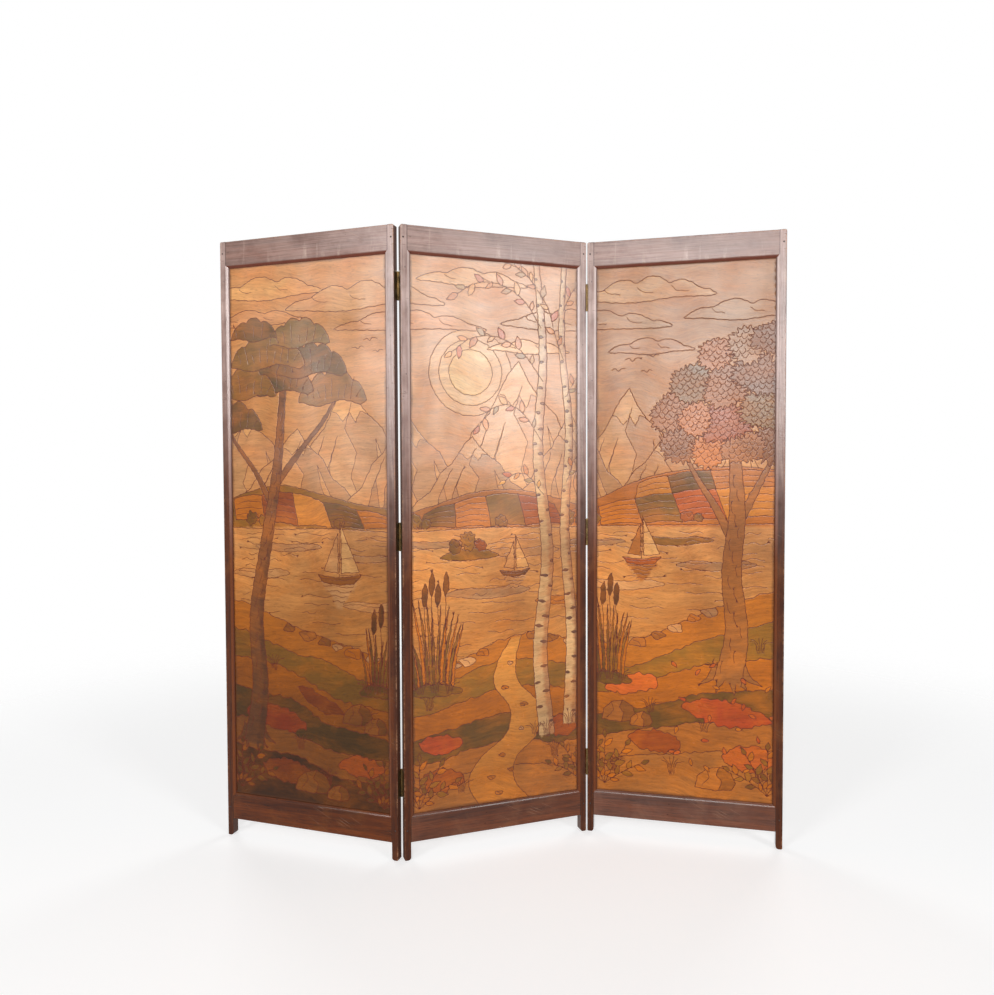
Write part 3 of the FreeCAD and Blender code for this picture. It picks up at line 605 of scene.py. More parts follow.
def pine():
    wood = (126, 74, 38)
    roots(62, 176, 62, wood)
    limb([(130, 830), (80, 920), (30, 985), (-10, 1040)], [20, 15, 11, 7], wood)
    limb([(150, 900), (226, 990), (290, 1060), (330, 1120)], [20, 15, 11, 7], wood)
    trunk = [(60, 150), (84, 320), (74, 520), (112, 740), (146, 930), (166, 1120), (176, 1210)]
    left, right = limb(trunk, [64, 50, 44, 38, 32, 24, 16], wood)
    mid = (left + right) / 2
    fill(np.vstack([mid + 0.35 * (right - mid), right[::-1]]), (100, 58, 32))
    bark(left, right, 14, 26, 0.2, 0.6, 0.08, 2.5)
    each(pad, (
        (6, 1046, 190, 84, 4, MOSS), (322, 1118, 210, 88, 5, OLIVE), (150, 1150, 230, 84, 5, (96, 70, 34)),
        (52, 1140, 190, 86, 4, OLIVE), (258, 1196, 220, 88, 5, MOSS), (120, 1222, 240, 92, 5, OLIVE),
        (222, 1278, 190, 76, 4, (136, 98, 46)), (76, 1300, 150, 60, 3, MOSS),
    ))


def birches():
    gold = (HONEY, (212, 144, 60), AMBER, CORAL, (150, 108, 46))
    for trunk, widths in (
        (
            [(1006, 196), (1014, 470), (992, 760), (1006, 1040), (984, 1290), (992, 1530)],
            [40, 34, 29, 24, 19, 14],
        ), (
            [(936, 172), (916, 420), (938, 690), (910, 980), (926, 1250), (904, 1530)],
            [48, 42, 36, 30, 23, 17],
        ),
    ):
        left, right = limb(trunk, widths, (214, 166, 112))
        fill(np.vstack([left + 0.66 * (right - left), right[::-1]]), (178, 122, 78))
        line(right)
        for k in range(30):
            at = min(int(len(left) * (0.03 + 0.94 * scattered(k))), len(left) - 3)
            side, other = (left, right) if k % 2 else (right, left)
            a = side[at]
            b = a + (other[at] - a) * (0.3 + 0.35 * ((k * 5) % 4) / 3)
            mid = (a + b) / 2
            shape(ring([a, mid + (0, 4), b, mid - (0, 3.5)]), (104, 66, 46), THIN)
    for points, count, size in (
        ([(922, 1010), (872, 1080), (824, 1110), (770, 1096), (736, 1050)], 9, 34),
        ([(926, 1180), (860, 1260), (790, 1296), (716, 1290), (660, 1250)], 11, 36),
        ([(918, 1330), (870, 1400), (800, 1440), (730, 1440), (676, 1408)], 10, 36),
        ([(998, 1140), (1030, 1190), (1060, 1200)], 4, 32),
        ([(990, 1240), (960, 1320), (940, 1390), (880, 1470)], 7, 34),
        ([(988, 1380), (1020, 1440), (1060, 1470)], 5, 34),
        ([(1000, 900), (1024, 960), (1050, 980)], 4, 30),
        ([(926, 860), (884, 910), (846, 920), (812, 900)], 6, 30),
        ([(910, 1440), (850, 1490), (780, 1510)], 6, 34),
    ):
        spray(points, count, size, gold)
    each(tussock, ((936, 170, 44, 7), (1006, 196, 40, 6), (900, 178, 36, 5)))


def autumn_tree():
    wood = (152, 90, 38)
    roots(1456, 352, 78, wood)
    limb([(1470, 720), (1420, 820), (1370, 900), (1330, 980)], [26, 20, 14, 8], wood)
    limb([(1480, 780), (1530, 880), (1570, 960)], [26, 18, 10], wood)
    trunk = [(1452, 330), (1476, 470), (1462, 640), (1476, 800), (1470, 960), (1462, 1120)]
    left, right = limb(trunk, [76, 60, 52, 44, 30, 16], wood)
    bark(left, right, 8, 16, 0.18, 0.64, -0.06, -2.5)
    for clump in (
        (1318, 1000, 62, BROWN), (1400, 980, 56, OCHRE), (1570, 1000, 66, BROWN), (1490, 990, 60, TAN),
        (1300, 1090, 66, TAN), (1440, 1060, 76, RUST), (1548, 1090, 70, OLIVE), (1362, 1070, 54, OCHRE),
        (1350, 1170, 64, OLIVE), (1444, 1160, 70, TAN), (1530, 1190, 72, BROWN), (1420, 1250, 56, AMBER),
        (1500, 1270, 58, SLATE), (1572, 1290, 60, BROWN),
    ):
        bush(*clump, 0.86)
    for k in range(22):
        x = 1290 + 280 * scattered(k)
        z = 60 + 330 * ((k * 0.445 + 0.2) % 1.0)
        leaflet(x, z, 22, 0.9 * k, (CORAL, RED, AMBER)[k % 3])


def draw():
    for motif in (sky, mountains, hills, lake, ground, shore, pine, birches, autumn_tree):
        motif()
    return ITEMS


# Leaf axes

FEET = {mount["name"]: Vector(mount["pos_m"]) for mount in frame["record"]["mounts"]}


class Leaf:
    """Where one leaf stands: its own axes run along its width, backwards from its face, and up."""

    def __init__(self, name):
        self.name = name
        self.body = f"{name}_leaf"
        self.along = (FEET[f"{name}_leaf_right_foot"] - FEET[f"{name}_leaf_left_foot"]).normalized()
        self.back = Vector((-self.along.y, self.along.x, 0.0))
        self.turn = math.atan2(self.along.y, self.along.x)
        stile = self.reach(f"{name}_leaf_left_stile")
        self.corner = self.along * stile[0][0] + self.back * stile[0][1]
        self.width = self.reach(f"{name}_leaf_right_stile")[1][0] - stile[0][0]
        self.height = stile[1][2]

    def reach(self, node):
        """Lowest and highest place of a CAD node along the leaf's own directions."""
        places = np.array([vertex.co for vertex in frame["nodes"][node].data.vertices])
        own = np.column_stack([places @ self.along, places @ self.back, places[:, 2]])
        return own.min(axis=0), own.max(axis=0)

    def points(self, low, across, depth, up):
        """Places given in millimetres from the low corner of the board."""
        along = low[0] + across * MM
        back = low[1] + depth * MM
        flat = np.outer(along, self.along) + np.outer(back, self.back)
        flat[:, 2] = low[2] + up * MM
        return flat


leaves = [Leaf(name) for name in LEAVES]


# Carved panel meshes, in millimetres

BOARD_MARGIN = 7.0
LINE_HALF = 1.35
GROOVE = 0.5
SHOULDER = 1.0
SAMPLE = 0.8
SPACING = 0.6
EDGE_CLEAR = 3.0
GRID = 10.0
GRID_CLEAR = 4.0
WAVE = 0.5
WAVE_EASE = 60.0


def inside(points, outline):
    """Which of the points lie within a closed outline."""
    low, high = outline.min(axis=0), outline.max(axis=0)
    near = np.all((points > low) & (points < high), axis=1)
    hit = np.zeros(len(points), bool)
    if not near.any():
        return hit
    x, z = points[near].T
    odd = np.zeros(len(x), bool)
    for (ax, az), (bx, bz) in zip(outline, np.roll(outline, -1, axis=0)):
        if az != bz:
            odd ^= ((az > z) != (bz > z)) & (x < ax + (z - az) * (bx - ax) / (bz - az))
    hit[near] = odd
    return hit


def linear(colour):
    """A colour from 0 to 255 as light."""
    c = np.asarray(colour, float) / 255.0
    return np.where(c <= 0.04045, c / 12.92, ((c + 0.055) / 1.055) ** 2.4)


def visible_runs(items, low, high):
    """The parts of the drawn lines that show within a board, as (points, weight)."""
    runs = []
    fills = [(k, outline) for k, (kind, outline, tint) in enumerate(items) if kind == "fill"]
    for k, (kind, points, weight) in enumerate(items):
        if kind != "line":
            continue
        shown = np.all((points > low) & (points < high), axis=1)
        if not shown.any():
            continue
        for j, outline in fills:
            if j > k:
                shown &= ~inside(points, outline)
        for start, stop in np.flatnonzero(np.diff(np.r_[0, shown, 0])).reshape(-1, 2):
            if stop - start > 1:
                runs.append((points[start:stop], weight))
    return runs


def tints(items, points):
    """The stain at each point: the last area painted there."""
    colour = np.zeros((len(points), 3))
    for kind, outline, tint in items:
        if kind == "fill":
            hit = inside(points, outline)
            low, high = outline[:, 1].min(), outline[:, 1].max()
            share = np.clip((points[hit, 1:] - low) / (high - low), 0.0, 1.0)
            colour[hit] = linear(tint[0]) * (1 - share) + linear(tint[-1]) * share
    return colour


def board_rim(wide, tall, columns, rows):
    """Points round a board, from its low left corner."""
    rim = [(wide * k / columns, 0.0) for k in range(columns)]
    rim += [(wide, tall * k / rows) for k in range(rows)]
    rim += [(wide - wide * k / columns, tall) for k in range(columns)]
    return rim + [(0.0, tall - tall * k / rows) for k in range(rows)]


def carved_panel(leaf, index, items):
    """A board with the picture cut into its face as shallow grooves."""
    low, high = leaf.reach(f"{leaf.name}_leaf_panel")
    wide, thick, tall = (high - low) / MM
    shift = np.array([index * PANEL_PITCH - BOARD_MARGIN, -BOARD_MARGIN])
    rows, columns = int(tall / GRID), int(wide / GRID)
    border = board_rim(wide, tall, columns, rows)

    # Points on the lines and beside them; a finer line is narrower and fainter
    places, sides = [np.array(border) + shift], []
    samples, half, strength = [], [], []
    window = shift + EDGE_CLEAR, shift + (wide - EDGE_CLEAR, tall - EDGE_CLEAR)
    for points, weight in visible_runs(items, *window):
        along = np.gradient(points, axis=0)
        across = pairs(-along[:, 1], along[:, 0])
        across /= np.maximum(np.hypot(across[:, 0], across[:, 1]), 1e-9)[:, None]
        reach = LINE_HALF * (0.55 + 0.45 * weight)
        places.append(points)
        sides += [points + across * side for side in (reach, -reach, reach + SHOULDER, -reach - SHOULDER)]
        fine = even(points, step=SAMPLE)
        samples.append(fine)
        half.append(np.full(len(fine), reach))
        strength.append(np.full(len(fine), 0.6 + 0.4 * weight))
    samples, half, strength = np.vstack(samples), np.concatenate(half), np.concatenate(strength)
    tree = KDTree(len(samples))
    for k, (x, z) in enumerate(samples):
        tree.insert((x, z, 0.0), k)
    tree.balance()

    # A staggered grid between the lines
    x, z = np.meshgrid(np.arange(1, columns), np.arange(1, rows))
    stagger = 0.25 * np.where(z % 2 == 0, 1.0, -1.0)
    grid = pairs(((x + stagger) * wide / columns).ravel(), (z * tall / rows).ravel()) + shift
    clear = np.array([tree.find((x, z, 0.0))[2] > GRID_CLEAR for x, z in grid])
    spots, taken = [], set()
    for x, z in np.vstack(places + sides + [grid[clear]]):
        key = (round(x / SPACING), round(z / SPACING))
        within = shift[0] <= x <= shift[0] + wide and shift[1] <= z <= shift[1] + tall
        if within and key not in taken:
            taken.add(key)
            spots.append((x, z))
    vertices, _, faces, origin, _, _ = delaunay_2d_cdt([Vector(s) for s in spots], [], [], 0, 1e-6)
    flat = np.array([(v.x, v.y) for v in vertices])
    where = {start: k for k, starts in enumerate(origin) for start in starts}
    rim = [where[k] for k in range(len(border))]

    # How deep each point lies: a groove where a line runs, and a slow wave over the board
    near = [tree.find((x, z, 0.0)) for x, z in flat]
    at = np.array([found[1] for found in near])
    away = np.array([found[2] for found in near])
    burn = strength[at] * np.clip(1.0 - away / half[at], 0.0, 1.0)
    own = flat - shift
    edge = np.minimum(own, (wide, tall) - own).min(axis=1)
    ease = np.clip((edge - BOARD_MARGIN) / WAVE_EASE, 0.0, 1.0)
    x, z = flat.T
    wave = 0.5 + 0.25 * np.sin(x / 47.0 + z / 83.0) + 0.25 * np.sin(z / 61.0 - x / 71.0)
    front = leaf.points(low, own[:, 0], WAVE * wave * ease + GROOVE * burn, own[:, 1])
    behind = leaf.points(low, own[rim, 0], np.full(len(rim), thick), own[rim, 1])

    # The face, the four edges and the back
    count, turns = len(flat), len(rim)
    polygons = [tuple(face) for face in faces]
    polygons += [(rim[(k + 1) % turns], rim[k], count + k, count + (k + 1) % turns) for k in range(turns)]
    polygons.append(tuple(count + k for k in range(turns))[::-1])
    mesh = bpy.data.meshes.new(f"{leaf.name}_leaf_carved_panel")
    mesh.from_pydata(np.vstack([front, behind]).tolist(), [], polygons)
    smooth = np.arange(len(polygons)) < len(faces)
    mesh.polygons.foreach_set("use_smooth", smooth)
    mesh.polygons.foreach_set("material_index", np.where(smooth, 0, 1).astype(np.int32))
    stain = np.ones((count + turns, 4))
    stain[:count, :3] = tints(items, flat)
    stain[count:, :3] = linear(BOARD_BACK)
    mesh.attributes.new("tint", "FLOAT_COLOR", "POINT").data.foreach_set("color", stain.ravel())
    mesh.attributes.new("burn", "FLOAT", "POINT").data.foreach_set("value", np.r_[burn, np.zeros(turns)])
    mesh.update()
    panel = bpy.data.objects.new(mesh.name, mesh)
    bpy.context.scene.collection.objects.link(panel)
    return panel


# Material nodes

BOARD_BACK = (118, 76, 46)

# For each panel: how much darker or lighter the picture is made low, midway and high; painted sheen, a pale
# wash standing in for the lamps' reflection, at its left and right side; and gloss
PANEL_TONES = {"left": (0.44, 1.0, 1.02), "middle": (0.94, 1.24, 1.0), "right": (1.06, 1.08, 0.64)}
PANEL_SHEEN = {"left": (0.03, 0.20), "middle": (0.24, 0.24), "right": (0.04, 0.08)}
PANEL_GLOSS = {"left": 0.24, "middle": 0.40, "right": 0.30}

# For each frame: painted sheen at the left and right of its rails, painted sheen low on them, and how much
# higher the painted sheen on its stiles begins
RAIL_SHEEN = {"left": (0.62, 1.05), "middle": (1.04, 0.90), "right": (1.0, 0.86)}
RAIL_LOW_SHEEN = {"left": 0.0, "middle": 0.06, "right": 0.12}
STILE_LAG = {"left": (0.16, 0.0), "middle": (0.0, 0.0), "right": (0.02, 0.0)}

# Widths in the frame, in metres
SIGHT_SIDE = 0.027
STILE_FLAT = 0.018
SIGHT_LOW = 0.123
SIGHT_TOP = 0.075
MOULDING = 0.009


class Nodes:
    """A node tree, with short names for the nodes that it is made of."""

    def __init__(self, tree):
        self.tree = tree
        tree.nodes.clear()

    def put(self, socket, value):
        """Link or set a socket; three numbers on a colour socket are a colour from 0 to 255."""
        if isinstance(value, bpy.types.NodeSocket):
            self.tree.links.new(value, socket)
        elif socket.type == "RGBA" and len(value) == 3:
            socket.default_value = (*linear(value), 1)
        else:
            socket.default_value = value

    def add(self, kind, sockets=None, **settings):
        made = self.tree.nodes.new("ShaderNode" + kind)
        for key, value in settings.items():
            setattr(made, key, value)
        for key, value in (sockets or {}).items():
            self.put(made.inputs[key], value)
        return made

    def maths(self, operation, *values):
        return self.add("Math", dict(enumerate(values)), operation=operation).outputs[0]

    def times(self, value, *others):
        for other in others:
            value = self.maths("MULTIPLY", value, other)
        return value

    def plus(self, a, b):
        return self.maths("ADD", a, b)

    def minus(self, a, b):
        return self.maths("SUBTRACT", a, b)

    def least(self, a, b):
        return self.maths("MINIMUM", a, b)

    def ramp(self, value, low, high, to_low=0, to_high=1, kind="LINEAR"):
        sockets = {"Value": value, "From Min": low, "From Max": high, "To Min": to_low, "To Max": to_high}
        return self.add("MapRange", sockets, interpolation_type=kind).outputs["Result"]

    def ease(self, value, low, high, to_low=0, to_high=1):
        """A ramp with soft ends."""
        return self.ramp(value, low, high, to_low, to_high, "SMOOTHSTEP")

    def seen_rays(self):
        """One for rays that show a background: from the camera, or by way of gloss or glass."""
        path = self.add("LightPath").outputs
        either = self.maths("MAXIMUM", path["Is Camera Ray"], path["Is Glossy Ray"])
        return self.maths("MAXIMUM", either, path["Is Transmission Ray"])


class Paint(Nodes):
    """The nodes of a material, with a place in metres: across a leaf, back from its face, and up."""

    def __init__(self, name, leaf=None):
        self.material = bpy.data.materials.new(name)
        self.material.use_nodes = True
        super().__init__(self.material.node_tree)
        self.shader = self.add("BsdfPrincipled")
        self.add("OutputMaterial", {"Surface": self.shader.outputs[0]})
        self.colour = None
        self.place = self.add("TexCoord").outputs["Object"]
        if leaf:
            own = Matrix.Rotation(-leaf.turn, 4, "Z")
            sockets = {"Vector": self.place, "Location": -(own @ leaf.corner)}
            sockets["Rotation"] = (0, 0, -leaf.turn)
            self.place = self.add("Mapping", sockets, vector_type="POINT").outputs[0]

    def stretched(self, factors, place=None):
        sockets = {0: self.place if place is None else place, 1: factors}
        return self.add("VectorMath", sockets, operation="MULTIPLY").outputs[0]

    def noise(self, factors, detail=3, roughness=0.55, distortion=0, place=None):
        sockets = {"Vector": self.stretched(factors, place), "Scale": 1}
        sockets |= {"Detail": detail, "Roughness": roughness, "Distortion": distortion}
        return self.add("TexNoise", sockets).outputs[0]

    def vary(self, noise, low, high):
        """The middle range of a noise as another range."""
        return self.ramp(noise, 0.3, 0.7, low, high)

    def mix(self, under, over, share):
        made = self.add("Mix", data_type="RGBA", blend_type="MIX")
        for index, value in ((0, share), (6, under), (7, over)):
            self.put(made.inputs[index], value)
        return made.outputs[2]

    def bump(self, height, distance, strength=1, under=None):
        sockets = {"Height": height, "Distance": distance, "Strength": strength}
        if under is not None:
            sockets["Normal"] = under
        made = self.add("Bump", sockets).outputs[0]
        self.put(self.shader.inputs["Normal"], made)
        return made

    def coat(self, tint, share):
        self.colour = self.mix(self.colour, tint, share)

    def finish(self, roughness, specular=0.5, metallic=0):
        looks = {"Base Color": self.colour, "Roughness": roughness, "Metallic": metallic}
        for name, value in looks.items():
            self.put(self.shader.inputs[name], value)
        self.shader.inputs["Specular IOR Level"].default_value = specular
        return self.material


def picture_material(leaf):
    """Varnished board with thin stains and burnt lines, its grain level."""
    mat = Paint(f"{leaf.name}_stained_picture", leaf)
    bend = mat.noise((2.6, 2.6, 1.7), 2)
    lift = mat.add("CombineXYZ", {"Z": mat.vary(bend, -0.04, 0.04)}).outputs[0]
    veneer = mat.add("VectorMath", {0: mat.place, 1: lift}, operation="ADD").outputs[0]
    long = mat.noise((6, 6, 105), 4, place=veneer)
    short = mat.noise((30, 30, 560), 2, place=veneer)
    fleck = mat.noise((46, 46, 1100), 1, place=veneer)
    speck = mat.noise((64, 64, 300), 2, 0.6, place=veneer)
    patch = mat.noise((4.2, 4.2, 5.2), 3, 0.5, 0.8)
    smudge = mat.noise((2.4, 2.4, 3.4), 5, 0.62, 0.6)
    rub = mat.noise((9, 9, 14), 3, 0.6, 0.4)
    shade = mat.times(
        mat.vary(long, 0.82, 1.14),
        mat.vary(short, 1.07, 0.91),
        mat.vary(patch, 0.8, 1.14),
        mat.ramp(fleck, 0.6, 0.7, 1, 0.78),
        mat.ramp(speck, 0.56, 0.72, 1, 0.74),
        mat.ramp(speck, 0.28, 0.4, 1.12, 1),
    )
    tint = mat.add("Attribute", attribute_name="tint").outputs["Color"]
    burn = mat.add("Attribute", attribute_name="burn").outputs["Fac"]
    across, _, up = mat.add("SeparateXYZ", {0: mat.place}).outputs
    low, middle, high = PANEL_TONES[leaf.name]
    depth = mat.times(mat.ease(up, 0.3, 1, low, middle), mat.ease(up, 1, 1.45, 1, high / middle))
    mat.colour = tint
    mat.coat((206, 112, 20), mat.ramp(rub, 0.42, 0.75, 0, 0.5))
    mat.coat((112, 60, 24), mat.ramp(smudge, 0.5, 0.74, 0, 0.7))
    for share in (shade, depth):
        mat.colour = mat.add("VectorMath", {0: mat.colour, "Scale": share}, operation="SCALE").outputs[0]
    # Dirt and painted shade: the board darkens in a narrow band along the inside of the frame
    side = mat.least(across, mat.minus(leaf.width, across))
    ends = mat.least(mat.minus(up, SIGHT_LOW), mat.minus(leaf.height - SIGHT_TOP, up))
    rim = mat.least(mat.minus(side, SIGHT_SIDE), ends)
    rim = mat.plus(rim, mat.vary(rub, -0.003, 0.003))
    mat.coat((78, 42, 20), mat.ease(rim, 0, 0.007, 0.6, 0))
    mat.coat((112, 54, 24), mat.ramp(burn, 0, 0.3, 0, 0.3))
    drag = mat.noise((120, 120, 120), 2)
    mark = mat.times(mat.ease(burn, 0.12, 0.46), mat.ramp(drag, 0.3, 0.55, 0.62, 1))
    mat.coat((84, 28, 10), mark)
    # Painted sheen: a pale patchy wash, stronger higher up, that stands in for the lamps' reflection in the
    # varnish
    painted_sheen = mat.times(
        mat.ramp(across, 0, leaf.width, *PANEL_SHEEN[leaf.name]),
        mat.ease(up, 0.75, 1.25),
        mat.vary(patch, 0.3, 1.6),
    )
    mat.coat((231, 216, 206), painted_sheen)
    swell = mat.bump(mat.noise((5.5, 5.5, 2.4), 1, 0.4), 0.01)
    mat.bump(mat.plus(long, mat.times(short, 0.5)), 0.0002, 0.6, swell)
    roughness = mat.plus(mat.vary(rub, 0.2, 0.3), mat.times(mark, 0.45))
    return mat.finish(roughness, PANEL_GLOSS[leaf.name])


def board_material(leaf):
    """The back of a board: plain, stained and dry."""
    mat = Paint(f"{leaf.name}_board_back", leaf)
    grain = mat.noise((5, 5, 70), 4, 0.6, 0.5)
    fibre = mat.noise((24, 24, 700), 3)
    stain = mat.noise((3, 3, 3), 3, 0.6, 0.6)
    mat.colour = mat.mix((110, 68, 40), (140, 92, 57), mat.vary(grain, 0, 1))
    mat.coat((82, 50, 32), mat.ramp(fibre, 0.45, 0.7, 0, 0.45))
    mat.coat((92, 60, 40), mat.ramp(stain, 0.45, 0.75, 0, 0.4))
    mat.bump(fibre, 0.0004, 0.7)
    return mat.finish(mat.vary(stain, 0.55, 0.75), 0.3)


def wood_material(leaf, upright, bead=False):
    """Dark stained hardwood under a rubbed satin varnish, the grain along the piece."""
    kind = "stile" if upright else "rail"
    mat = Paint(f"{leaf.name}_{'bead' if bead else 'frame'}_{kind}_wood", leaf)

    def grain(across, along):
        return (across, across, along) if upright else (along, across, across)

    streak = mat.noise(grain(46, 2.6), 4, 0.6, 0.7)
    fibre = mat.noise(grain(330, 9), 3)
    pore = mat.noise(grain(900, 26), 1)
    rub = mat.noise((11, 11, 11), 4, 0.6, 0.3)
    fine = mat.noise((150, 150, 150), 3, 0.6)
    dark, light = ((50, 18, 3), (104, 47, 9)) if upright else ((56, 21, 4), (116, 54, 12))
    if bead:
        dark, light = (58, 26, 8), (104, 52, 16)
    mat.colour = mat.mix(dark, light, mat.ramp(streak, 0.28, 0.72))
    mat.coat((42, 20, 11), mat.ramp(fibre, 0.42, 0.72, 0, 0.5))
    mat.coat((26, 12, 8), mat.ramp(pore, 0.6, 0.68, 0, 0.7))
    mat.coat((124, 76, 36), mat.ramp(rub, 0.5, 0.75, 0, 0.35))

    # Distances from the sides, the face and the top of the leaf
    across, deep, up = mat.add("SeparateXYZ", {0: mat.place}).outputs
    outer = mat.least(across, mat.minus(leaf.width, across))
    below = mat.minus(leaf.height, up)
    facing = mat.ramp(deep, 0.008, 0.018, 1, 0.2)

    # Painted sheen, a pale wash standing in for the lamps' reflection in the varnish, on the face and more
    # of it higher up; and scuffs, which also show more higher up
    sheen_top = 0.79 if upright else 0.58
    low_sheen = 0 if upright else RAIL_LOW_SHEEN[leaf.name]
    lag = mat.ramp(across, 0, leaf.width, *STILE_LAG[leaf.name])
    frame_sheen = mat.ease(mat.minus(up, lag), 0.72, 1.4, low_sheen, sheen_top)
    if not upright:
        frame_sheen = mat.times(frame_sheen, mat.ramp(across, 0, leaf.width, *RAIL_SHEEN[leaf.name]))
    frame_sheen = mat.times(
        frame_sheen, mat.ramp(rub, 0.3, 0.6, 0.6, 1.15), mat.ramp(fibre, 0.32, 0.68, 1.2, 0.72), facing,
    )
    mat.coat((184, 158, 150), frame_sheen)
    scuff = mat.times(
        mat.ramp(mat.noise((17, 17, 2.4), 4, 0.62, 0.4), 0.55, 0.68),
        mat.ramp(fine, 0.36, 0.6, 0.25, 1),
        mat.ramp(up, 0.8, 1.5, 0, 0.9 * sheen_top),
        facing,
    )
    mat.coat((214, 190, 174), scuff)

    # Lines of the moulding, with painted shadow under the top rail and a painted highlight on the stiles,
    # and the joint of stile and rail
    if not upright and not bead:
        ledge = leaf.height - SIGHT_TOP
        # Painted shadow along the lower edge of the top rail's moulding
        rail_shadow = mat.ramp(up, ledge + MOULDING, ledge + 0.6 * MOULDING)
        mat.coat((98, 36, 8), mat.times(rail_shadow, mat.ramp(up, 1, 1.1, 0, 0.9)))
    if upright and not bead:
        # Painted highlight: a pale line along the crest of each stile's moulding, paler higher up
        crest = mat.ramp(outer, SIGHT_SIDE - MOULDING, SIGHT_SIDE - 0.8 * MOULDING)
        glow = mat.mix((128, 66, 26), (232, 212, 206), mat.ramp(up, 0.8, 1.4))
        mat.coat(glow, mat.times(crest, 0.5))
        # Dirt and painted shade: a dark line in the quirk beside the board
        quirk = mat.ramp(outer, SIGHT_SIDE - 0.003, SIGHT_SIDE - 0.001, 0, 0.8)
        mat.coat((74, 30, 12), quirk)
        tick = mat.ramp(mat.noise((38, 38, 260), 2), 0.62, 0.68)
        mat.coat((78, 50, 42), mat.times(tick, mat.ramp(rub, 0.45, 0.6, 0, 0.6)))
    if not upright:
        seam = mat.maths("ABSOLUTE", mat.minus(outer, STILE_FLAT))
        mat.coat((24, 11, 7), mat.ramp(seam, 0.0005, 0.0018, 0.85, 0))

    # Worn edges, scratches and nicks
    back = mat.maths("ABSOLUTE", deep)
    edge = mat.least(mat.plus(mat.maths("ABSOLUTE", outer), back), mat.plus(below, back))
    worn = mat.times(
        mat.ramp(edge, 0.0012, 0.0042, 1, 0), mat.ramp(rub, 0.42, 0.6), mat.ramp(fine, 0.4, 0.55), 0.75,
    )
    mat.coat((168, 122, 90), worn)
    tilt = mat.add("Mapping", {"Vector": mat.place, "Rotation": (0, 1.1, 0.35)}).outputs[0]
    scratch = mat.times(
        mat.ramp(mat.noise((620, 620, 11), 1, place=tilt), 0.7, 0.76),
        mat.ramp(mat.noise((6, 6, 6), 2), 0.5, 0.62),
        0.4,
    )
    mat.coat((186, 148, 122), scratch)
    sockets = {"Vector": mat.stretched(grain(66, 30)), "Scale": 1, "Randomness": 1}
    cell = mat.add("TexVoronoi", sockets, feature="F1").outputs
    pick = mat.add("SeparateColor", {0: cell["Color"]}).outputs[0]
    nick = mat.times(mat.ramp(cell["Distance"], 0.05, 0.11, 1, 0), mat.ramp(pick, 0.8, 0.82))
    mat.coat((38, 20, 14), mat.times(nick, 0.7))

    # The edges that meet in a fold and the tops are dull and painted a darker plain brown; on the fold edges
    # this is painted shade
    dull_dark_edge = mat.ramp(mat.least(outer, below), 0.0004, 0.001, 1, 0)
    mat.coat((70, 36, 20), mat.times(dull_dark_edge, 0.8))
    swell = mat.bump(mat.noise(grain(26, 4), 1), 0.0004, 0.6)
    depth = mat.minus(mat.times(fibre, 0.5), mat.ramp(pore, 0.58, 0.68))
    mat.bump(mat.minus(depth, mat.times(nick, 2)), 0.00005, 0.6, swell)
    roughness = mat.plus(mat.vary(rub, 0.12, 0.24), mat.times(dull_dark_edge, 0.55))
    return mat.finish(roughness, 0.26)


def peg_material(leaf):
    """End grain of the pegs: nearly black with stain."""
    mat = Paint(f"{leaf.name}_peg_end_grain", leaf)
    dots = mat.noise((1500, 200, 1500), 2)
    stain = mat.noise((300, 300, 300), 2)
    mat.colour = mat.mix((52, 28, 20), (28, 15, 12), mat.ramp(dots, 0.4, 0.65))
    mat.coat((76, 44, 30), mat.ramp(stain, 0.5, 0.7, 0, 0.5))
    mat.bump(dots, 0.0003, 0.7)
    return mat.finish(mat.vary(stain, 0.45, 0.65))


def metal_material(name, bright, dull_dark_edge, low, high):
    """Metal with rubbed and tarnished patches and fine marks along its height."""
    mat = Paint(name)
    patch = mat.noise((55, 55, 55), 4, 0.65, 0.5)
    speck = mat.noise((420, 420, 420), 2)
    drawn = mat.noise((900, 900, 40), 2)
    age = mat.plus(mat.ramp(patch, 0.35, 0.65, 0, 0.8), mat.ramp(speck, 0.55, 0.7, 0, 0.4))
    mat.bump(mat.plus(speck, mat.times(drawn, 0.6)), 0.00012, 0.6)
    metallic = mat.ramp(age, 0, 1, 1, 0.86)
    mat.colour = mat.mix(bright, dull_dark_edge, age)
    return mat.finish(mat.ramp(age, 0, 1, low, high), metallic=metallic)


# Materials on the CAD pieces

brass = metal_material("aged_brass", (128, 104, 66), (62, 52, 34), 0.34, 0.58)
pin_brass = metal_material("worn_hinge_pin", (168, 156, 136), (104, 94, 78), 0.28, 0.48)
steel = metal_material("dull_steel", (120, 112, 104), (62, 54, 48), 0.4, 0.6)


def finish_of(name, woods):
    """The material of a CAD piece, from its name."""
    if name.endswith("hinge_pin"):
        return pin_brass
    if "hinge" in name:
        return brass
    if name.endswith("bead_pins"):
        return steel
    if name.endswith("joint_pegs"):
        return woods["peg"]
    upright = name.endswith(("left_stile", "right_stile", "left_bead", "right_bead"))
    return woods["bead" if name.endswith("bead") else "frame", upright]


